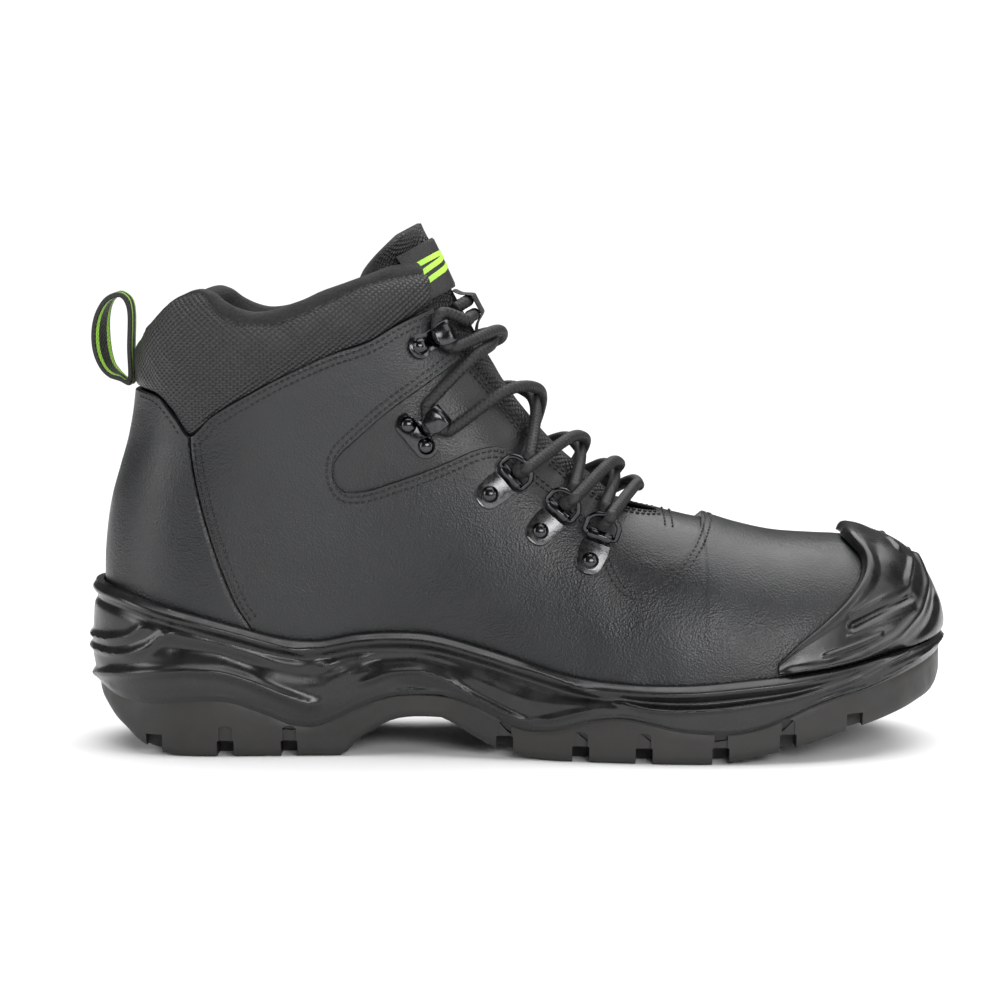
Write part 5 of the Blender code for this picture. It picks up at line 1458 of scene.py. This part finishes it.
def pull_loop():
    """Folded webbing with a lime stripe along each edge."""
    outer = [(-136.9, 127.5), (-141.5, 128.6), (-146, 132.2), (-148.6, 138.5), (-149.2, 146), (-148.2, 152.5),
             (-145.6, 157.6), (-141.6, 159.8), (-137.8, 157.6), (-136.5, 152), (-136.8, 140)]
    inner = [(-138.3, 129.4), (-141.2, 130.3), (-144.9, 133.2), (-147, 138.8), (-147.5, 146), (-146.6, 151.9),
             (-144.5, 156.2), (-141.6, 157.9), (-139.3, 156.4), (-138.1, 151.6), (-138.4, 140)]
    out_line, in_line = rounded_profile(outer, 108), rounded_profile(inner, 108)
    across = np.linspace(-6.5, 6.5, 27)
    points, cloth, kinds = [], [], []
    run = np.cumsum(np.linalg.norm(np.diff(out_line, axis=0, prepend=out_line[:1]), axis=1))
    count = 2 * len(across)
    for (ox, oz), (ix, iz), s in zip(out_line, in_line, run):
        thick = math.hypot(ix - ox, iz - oz)
        nx, nz = (ix - ox) / thick, (iz - oz) / thick
        clear = float(np.clip((-140 - ox) / 4, 0, 1))
        twist = PULL_TWIST * math.sin(2 * math.pi * (s / run[-1] - 0.02)) * clear
        edge = [0.18 if abs(y) > 6.2 else 0.0 for y in across]
        for y, e in zip(across, edge):
            shift = y * twist + thick * e
            points.append((ox + nx * shift, y, oz + nz * shift))
        for y, e in zip(across[::-1], edge[::-1]):
            shift = y * twist - thick * e
            points.append((ix + nx * shift, y, iz + nz * shift))
        cloth += [(y, s, 0) for y in across] + [(y, s, 0) for y in across[::-1]]
    faces = grid_faces(len(out_line), count, closed=True)
    last = (len(out_line) - 1) * count
    faces += [(last + r, r, (r + 1) % count, last + (r + 1) % count) for r in range(count)]
    stripe = [1 if 3.4 < abs(y) < 5.9 else 0 for y in across]
    stripe += stripe[::-1]
    kinds = [stripe[k % count] for k in range(len(faces))]
    add("pull_loop_webbing", points, faces, "webbing_weave", body="pull_loop", cloth=cloth, kinds=kinds,
        second="lime_weave", stands_for=["pull_loop"], sharp=50)


# Fittings and lace


def tube(path, radius, sides, closed=False, ribs=None):
    """A round tube along a path: points and faces. ribs gives a share of the radius at (turn, run)."""
    path = np.asarray(path, float)
    if closed:
        ahead = np.roll(path, -1, axis=0) - np.roll(path, 1, axis=0)
    else:
        ahead = np.gradient(path, axis=0)
    ahead /= np.linalg.norm(ahead, axis=1, keepdims=True)
    across = np.cross(ahead[0], [0.3, 0.2, 0.9])
    run, points = 0.0, []
    turn = np.linspace(0, 2 * np.pi, sides, endpoint=False)
    for k, (p, t) in enumerate(zip(path, ahead)):
        across = across - t * (across @ t)
        across /= np.linalg.norm(across)
        other = np.cross(t, across)
        if k:
            run += float(np.linalg.norm(p - path[k - 1]))
        size = radius * (ribs(turn, run) if ribs else np.ones(sides))
        points += list(p + (np.cos(turn) * size)[:, None] * across + (np.sin(turn) * size)[:, None] * other)
    faces = grid_faces(len(path), sides, closed=True)
    last = (len(path) - 1) * sides
    if closed:
        first_ring, last_ring = np.array(points[:sides]), np.array(points[last:])
        gaps = [np.linalg.norm(np.roll(first_ring, -k, axis=0) - last_ring, axis=1).sum()
                for k in range(sides)]
        twist = int(np.argmin(gaps))
        faces += [(last + r, (r + twist) % sides, (r + 1 + twist) % sides, last + (r + 1) % sides)
                  for r in range(sides)]
    else:
        faces += [list(range(sides)), [last + r for r in reversed(range(sides))]]
    return points, faces


def strap(name, seat_frame, line, widths, thick, look, **options):
    """A metal strip along a line of (t, n) in a seat's frame, with half-widths and rounded edges."""
    line = np.array(line, float)
    ahead = np.gradient(line, axis=0)
    ahead /= np.linalg.norm(ahead, axis=1, keepdims=True)
    normal = np.stack([-ahead[:, 1], ahead[:, 0]], -1)
    h, c = thick / 2, 0.24
    rings = []
    for (t, n), (nt, nn), w in zip(line, normal, widths):
        w = max(w, c + 0.05)
        section = [(-w, -h + c), (-w + c, -h), (w - c, -h), (w, -h + c), (w, h - c),
                   (w - c * 0.4, h - c * 0.35),
                   (w - c, h), (-w + c, h), (-w + c * 0.4, h - c * 0.35), (-w, h - c)]
        rings.append(placed(seat_frame, [(t + nt * v, b, n + nn * v) for b, v in section]))
    rings = np.array(rings)
    count, around = rings.shape[:2]
    faces = grid_faces(count, around, closed=True)
    faces += [list(range(around)), [(count - 1) * around + r for r in reversed(range(around))]]
    return add(name, rings.reshape(-1, 3), faces, look, sharp=50, **options)


def dome(name, seat_frame, at, base, stands_for):
    """A domed rivet head with a small rolled rim."""
    profile = [(0.2, -0.05), (2.95, 0.0), (3.0, 0.2), (2.9, 0.42), (2.7, 0.55), (2.62, 0.75), (2.4, 1.15),
               (2.0, 1.55),
               (1.45, 1.85), (0.75, 2.04), (0.08, 2.1)]
    sides = 28
    turn = np.linspace(0, 2 * np.pi, sides, endpoint=False)
    rings = [placed(seat_frame, np.stack([at[0] + r * np.cos(turn), at[1] + r * np.sin(turn),
                                          np.full(sides, base + h)], -1)) for r, h in profile]
    faces = grid_faces(len(rings), sides, closed=True)
    faces += [list(range(sides)), [(len(rings) - 1) * sides + r for r in reversed(range(sides))]]
    add(name, np.concatenate(rings), faces, "black_nickel", stands_for=stands_for, sharp=60)


def clip(name, seat_frame, node):
    """The clip: a tapered plate under the rivet and a ribbed knuckle round the ring's bar."""
    low = 0.1
    middle = low + PLATE / 2
    outline = smooth([(-4.7, 0.6), (-4.4, 2.0), (-3.4, 3.6), (-2, 4.4), (0, 4.8), (4, 5.2), (BAR - 2.4, 4.9)])
    rounded = -4.7 + 4.7 * (1 - np.cos(np.linspace(0, np.pi / 2, 12)))
    t = np.concatenate([rounded, np.linspace(0.5, BAR - 2.4, 8)])
    strap(name + "_plate", seat_frame, [(v, middle) for v in t], outline(t), PLATE, "gunmetal",
          stands_for=[node])
    radius = KNUCKLE - 0.325
    turn = np.radians(np.linspace(-112, 170, 40))
    curl = [(BAR + radius * math.cos(a), low + KNUCKLE + radius * math.sin(a)) for a in turn]
    widths = 4.35 + 0.12 * np.sin(np.linspace(0, 26, 40))
    strap(name + "_knuckle", seat_frame, curl, widths, 0.65, "black_nickel")


def ring_line(seat_frame):
    """The D-ring's centre line in a clip's frame."""
    reach = RING_REACH - RING_HALF + 1.2
    path = [(0, v) for v in np.linspace(-RING_HALF + 1.3, RING_HALF - 1.3, 10)]
    path += [(0.25, RING_HALF - 0.45), (0.95, RING_HALF)]
    path += [(reach + (RING_REACH - reach) * math.sin(a), RING_HALF * math.cos(a))
             for a in np.radians(np.linspace(8, 172, 26))]
    path += [(0.95, -RING_HALF), (0.25, -RING_HALF + 0.45)]
    cos, sin = math.cos(RING_TILT), math.sin(RING_TILT)
    line = placed(seat_frame, [(BAR + u * cos, v, 0.1 + KNUCKLE + u * sin) for u, v in path])
    return rounded_loop(line, 120)


def rounded_loop(line, count):
    """A closed path with even spacing, its corners softened."""
    closed = np.concatenate([line, line[:1]])
    path = resampled(closed, np.linalg.norm(np.diff(closed, axis=0), axis=1).sum() / count)[:-1]
    for _ in range(3):
        path = (np.roll(path, 1, axis=0) + 2 * path + np.roll(path, -1, axis=0)) / 4
    return path


def hook(name, seat_frame, narrow, node):
    """A speed hook: rivet lobes, neck, rolled bend towards the lacing and a pointed flap folded back."""
    low = 0.1
    middle = low + PLATE / 2
    if narrow:
        t = -11.4 + 13.6 * shares(24, (0.0, 0.01, 0.03))
        lobe = np.sqrt(np.maximum(4.4**2 - (t + 7.0) ** 2, 0.05))
        widths = np.maximum(lobe, np.where(t > -6, 3.35, 0))
    else:
        t = -11.0 + 13.2 * shares(30, (0.0, 0.01, 0.03))
        lobe = 4.7 + np.sqrt(np.maximum(4.4**2 - (t + 6.7) ** 2, 0.0))
        neck = np.clip((t + 4.4) / 1.5, 0, 1)
        widths = lobe + (3.35 - lobe) * neck * neck * (3 - 2 * neck)
        widths[0] = 5.4
    line = [(v, middle) for v in t]
    centre, radius, height = 2.6, 2.7, low + 3.15
    turn = np.radians(np.linspace(-74, 84, 22))
    line += [(centre + radius * math.cos(a), height + radius * math.sin(a)) for a in turn]
    flap = 2.2 - 6.2 * np.sin(np.linspace(0, np.pi / 2, 16))
    line += [(v, height + radius - 0.05 * (2.2 - v)) for v in flap]
    tip = 4.1 * np.sqrt(1.01 - ((2.2 - flap) / 6.2) ** 2.4)
    widths = np.concatenate([widths, np.linspace(3.4, 4.1, 22), tip])
    strap(name, seat_frame, line, widths, PLATE, "black_nickel", stands_for=[node])


def fittings():
    """The rings with their clips and rivets, and the hooks with theirs."""
    for side_name, side in SIDES.items():
        for key in RINGS:
            tail = f"{side_name}_{key}"
            seat_frame = ring_frame(key, side)
            clip(f"clip_{tail}", seat_frame, f"d_ring_clip_{tail}")
            points, faces = tube(ring_line(seat_frame), RING_WIRE, 16, closed=True)
            add(f"ring_{tail}", points, faces, "black_nickel", body=f"d_ring_{tail}",
                stands_for=[f"d_ring_{tail}"], sharp=60)
            dome(f"rivet_{tail}", seat_frame, (0, 0), PLATE + 0.4, [f"d_ring_rivet_{tail}"])
        for key, (_, _, _, narrow) in HOOKS.items():
            tail = f"{side_name}_{key}"
            seat_frame = hook_frame(key, side)
            hook(f"hook_{tail}", seat_frame, narrow, f"lace_hook_{tail}")
            places = [("", (-7.2, 0))] if narrow else [("_1", (-6.7, 4.8)), ("_2", (-6.7, -4.8))]
            for number, at in places:
                dome(f"rivet_{tail}{number}", seat_frame, at, PLATE + 0.4, [f"hook_rivet_{tail}{number}"])


def through(points, pitch):
    """A smooth curve through the points, with even spacing."""
    points = np.concatenate([points[:1], points, points[-1:]])
    fine = []
    for a, b, c, d in zip(points, points[1:], points[2:], points[3:]):
        for t in np.linspace(0, 1, 12, endpoint=False):
            fine.append(0.5 * (2 * b + (c - a) * t + (2 * a - 5 * b + 4 * c - d) * t**2
                               + (3 * b - a - 3 * c + d) * t**3))
    return resampled(np.array(fine + [points[-2]]), pitch)


def lace():
    """The round braided lace, laid through the rings and round the hooks."""
    def braid(turn, run):
        twist = run * 2 * math.pi / 7.5
        strands = np.maximum(np.sin(4 * (turn + twist)), np.sin(4 * (turn - twist)))
        return 1.0 + 0.13 * strands

    points, faces = tube(through(lace_route(), 0.36), LACE_RADIUS + 0.16, 22, ribs=braid)
    add("lace_cord", points, faces, "lace_braid", stands_for=["lace"], sharp=180)


# Hidden pieces keep their CAD shape

HIDDEN = {"heel_stiffener": "pressed_board", "insole_board": "pressed_board",
          "steel_midsole_plate": "bare_steel", "steel_toe_cap": "bare_steel"}


def dress_hidden_nodes():
    """Procedural looks for the pieces that keep their CAD shape."""
    for node, look in HIDDEN.items():
        mesh = frame["nodes"][node].data
        mesh.materials.clear()
        mesh.materials.append(LOOKS[look][0])


# The studio

TARGET = np.array([-7.1, 0.0, 85.7])
CAMERA_DISTANCE = 1000.0
CAMERA_RISE = math.radians(5.5)
CAMERA_LENS = 101.2
FLOOR_REACH = 9.0
SHOWN_WHITE = 1.05
ROOM_LIGHT = 0.12
CEILING_SPREAD = math.radians(70)
CEILING_FROM = Vector((0.1, 0.28, 1.0))
# Each softbox: its name, place in metres, width and height, and power
SOFTBOXES = [("softbox_left", (-1.1, -0.45, 0.45), (0.35, 0.7), 4.5),
             ("softbox_front", (0.4, -1.35, 0.62), (0.9, 0.4), 11),
             ("softbox_right", (0.9, -0.4, 0.95), (0.8, 0.6), 3),
             ("softbox_low", (1.1, -0.5, 0.35), (0.25, 0.5), 2)]
CEILING_LIGHT = 3.65


def camera():
    """The view of the boot's outer side, a little above level."""
    made = bpy.data.cameras.new("camera")
    made.lens = CAMERA_LENS
    made.sensor_width = 36
    made.clip_end = 50
    eye = bpy.data.objects.new("camera", made)
    place = TARGET + CAMERA_DISTANCE * np.array([0, -math.cos(CAMERA_RISE), math.sin(CAMERA_RISE)])
    eye.location = Vector(place.tolist()) * MM
    eye.rotation_euler = (math.pi / 2 - CAMERA_RISE, 0, 0)
    bpy.context.scene.collection.objects.link(eye)
    bpy.context.scene.camera = eye


def light(name, place, size, power):
    """A soft rectangular light at a place in metres, aimed at the boot."""
    made = bpy.data.lights.new(name, "AREA")
    made.shape = "RECTANGLE"
    made.size, made.size_y = size
    made.energy = power
    lamp = bpy.data.objects.new(name, made)
    lamp.location = place
    aim = Vector((0, 0, 0.08)) - Vector(place)
    lamp.rotation_euler = aim.to_track_quat("-Z", "Y").to_euler()
    bpy.context.scene.collection.objects.link(lamp)


def studio():
    """The white floor, the room's light and the lamps."""
    mesh = bpy.data.meshes.new("floor")
    corners = [(x * FLOOR_REACH, y * FLOOR_REACH, 0) for x, y in ((-1, -1), (1, -1), (1, 1), (-1, 1))]
    mesh.from_pydata(corners, [], [(0, 1, 2, 3)])
    floor = bpy.data.objects.new("floor", mesh)
    bpy.context.scene.collection.objects.link(floor)
    n = Nodes("studio_floor")
    pale = n.mix(n.spread(n.noise(200), 0, 1), (0.93,) * 3, (0.95,) * 3)
    n.finish("studio_floor", None, pale, 0.9)
    mesh.materials.append(LOOKS["studio_floor"][0])
    world = bpy.data.worlds.new("studio")
    world.use_nodes = True
    tree = world.node_tree
    background = tree.nodes["Background"]
    path = tree.nodes.new("ShaderNodeLightPath")
    strength = tree.nodes.new("ShaderNodeMapRange")
    tree.links.new(path.outputs["Is Camera Ray"], strength.inputs["Value"])
    strength.inputs["To Min"].default_value = ROOM_LIGHT
    strength.inputs["To Max"].default_value = SHOWN_WHITE
    tree.links.new(strength.outputs["Result"], background.inputs["Strength"])
    background.inputs["Color"].default_value = (1, 1, 1, 1)
    bpy.context.scene.world = world
    bpy.context.scene.view_settings.view_transform = "Standard"
    sun = bpy.data.lights.new("ceiling", "SUN")
    sun.energy = CEILING_LIGHT
    sun.angle = CEILING_SPREAD
    lamp = bpy.data.objects.new("ceiling", sun)
    lamp.rotation_euler = CEILING_FROM.to_track_quat("Z", "Y").to_euler()
    bpy.context.scene.collection.objects.link(lamp)
    for name, place, size, power in SOFTBOXES:
        light(name, place, size, power)


def main():
    """Builds the boot's looks and the studio round it."""
    camera()
    make_looks()
    vamp_and_quarters()
    underlay()
    heel_leather()
    lining()
    all_stitching()
    midsole()
    outsole()
    scuff_cap()
    collar()
    tongue()
    gussets()
    label()
    keeper()
    footbed()
    pull_loop()
    fittings()
    lace()
    dress_hidden_nodes()
    studio()


main()
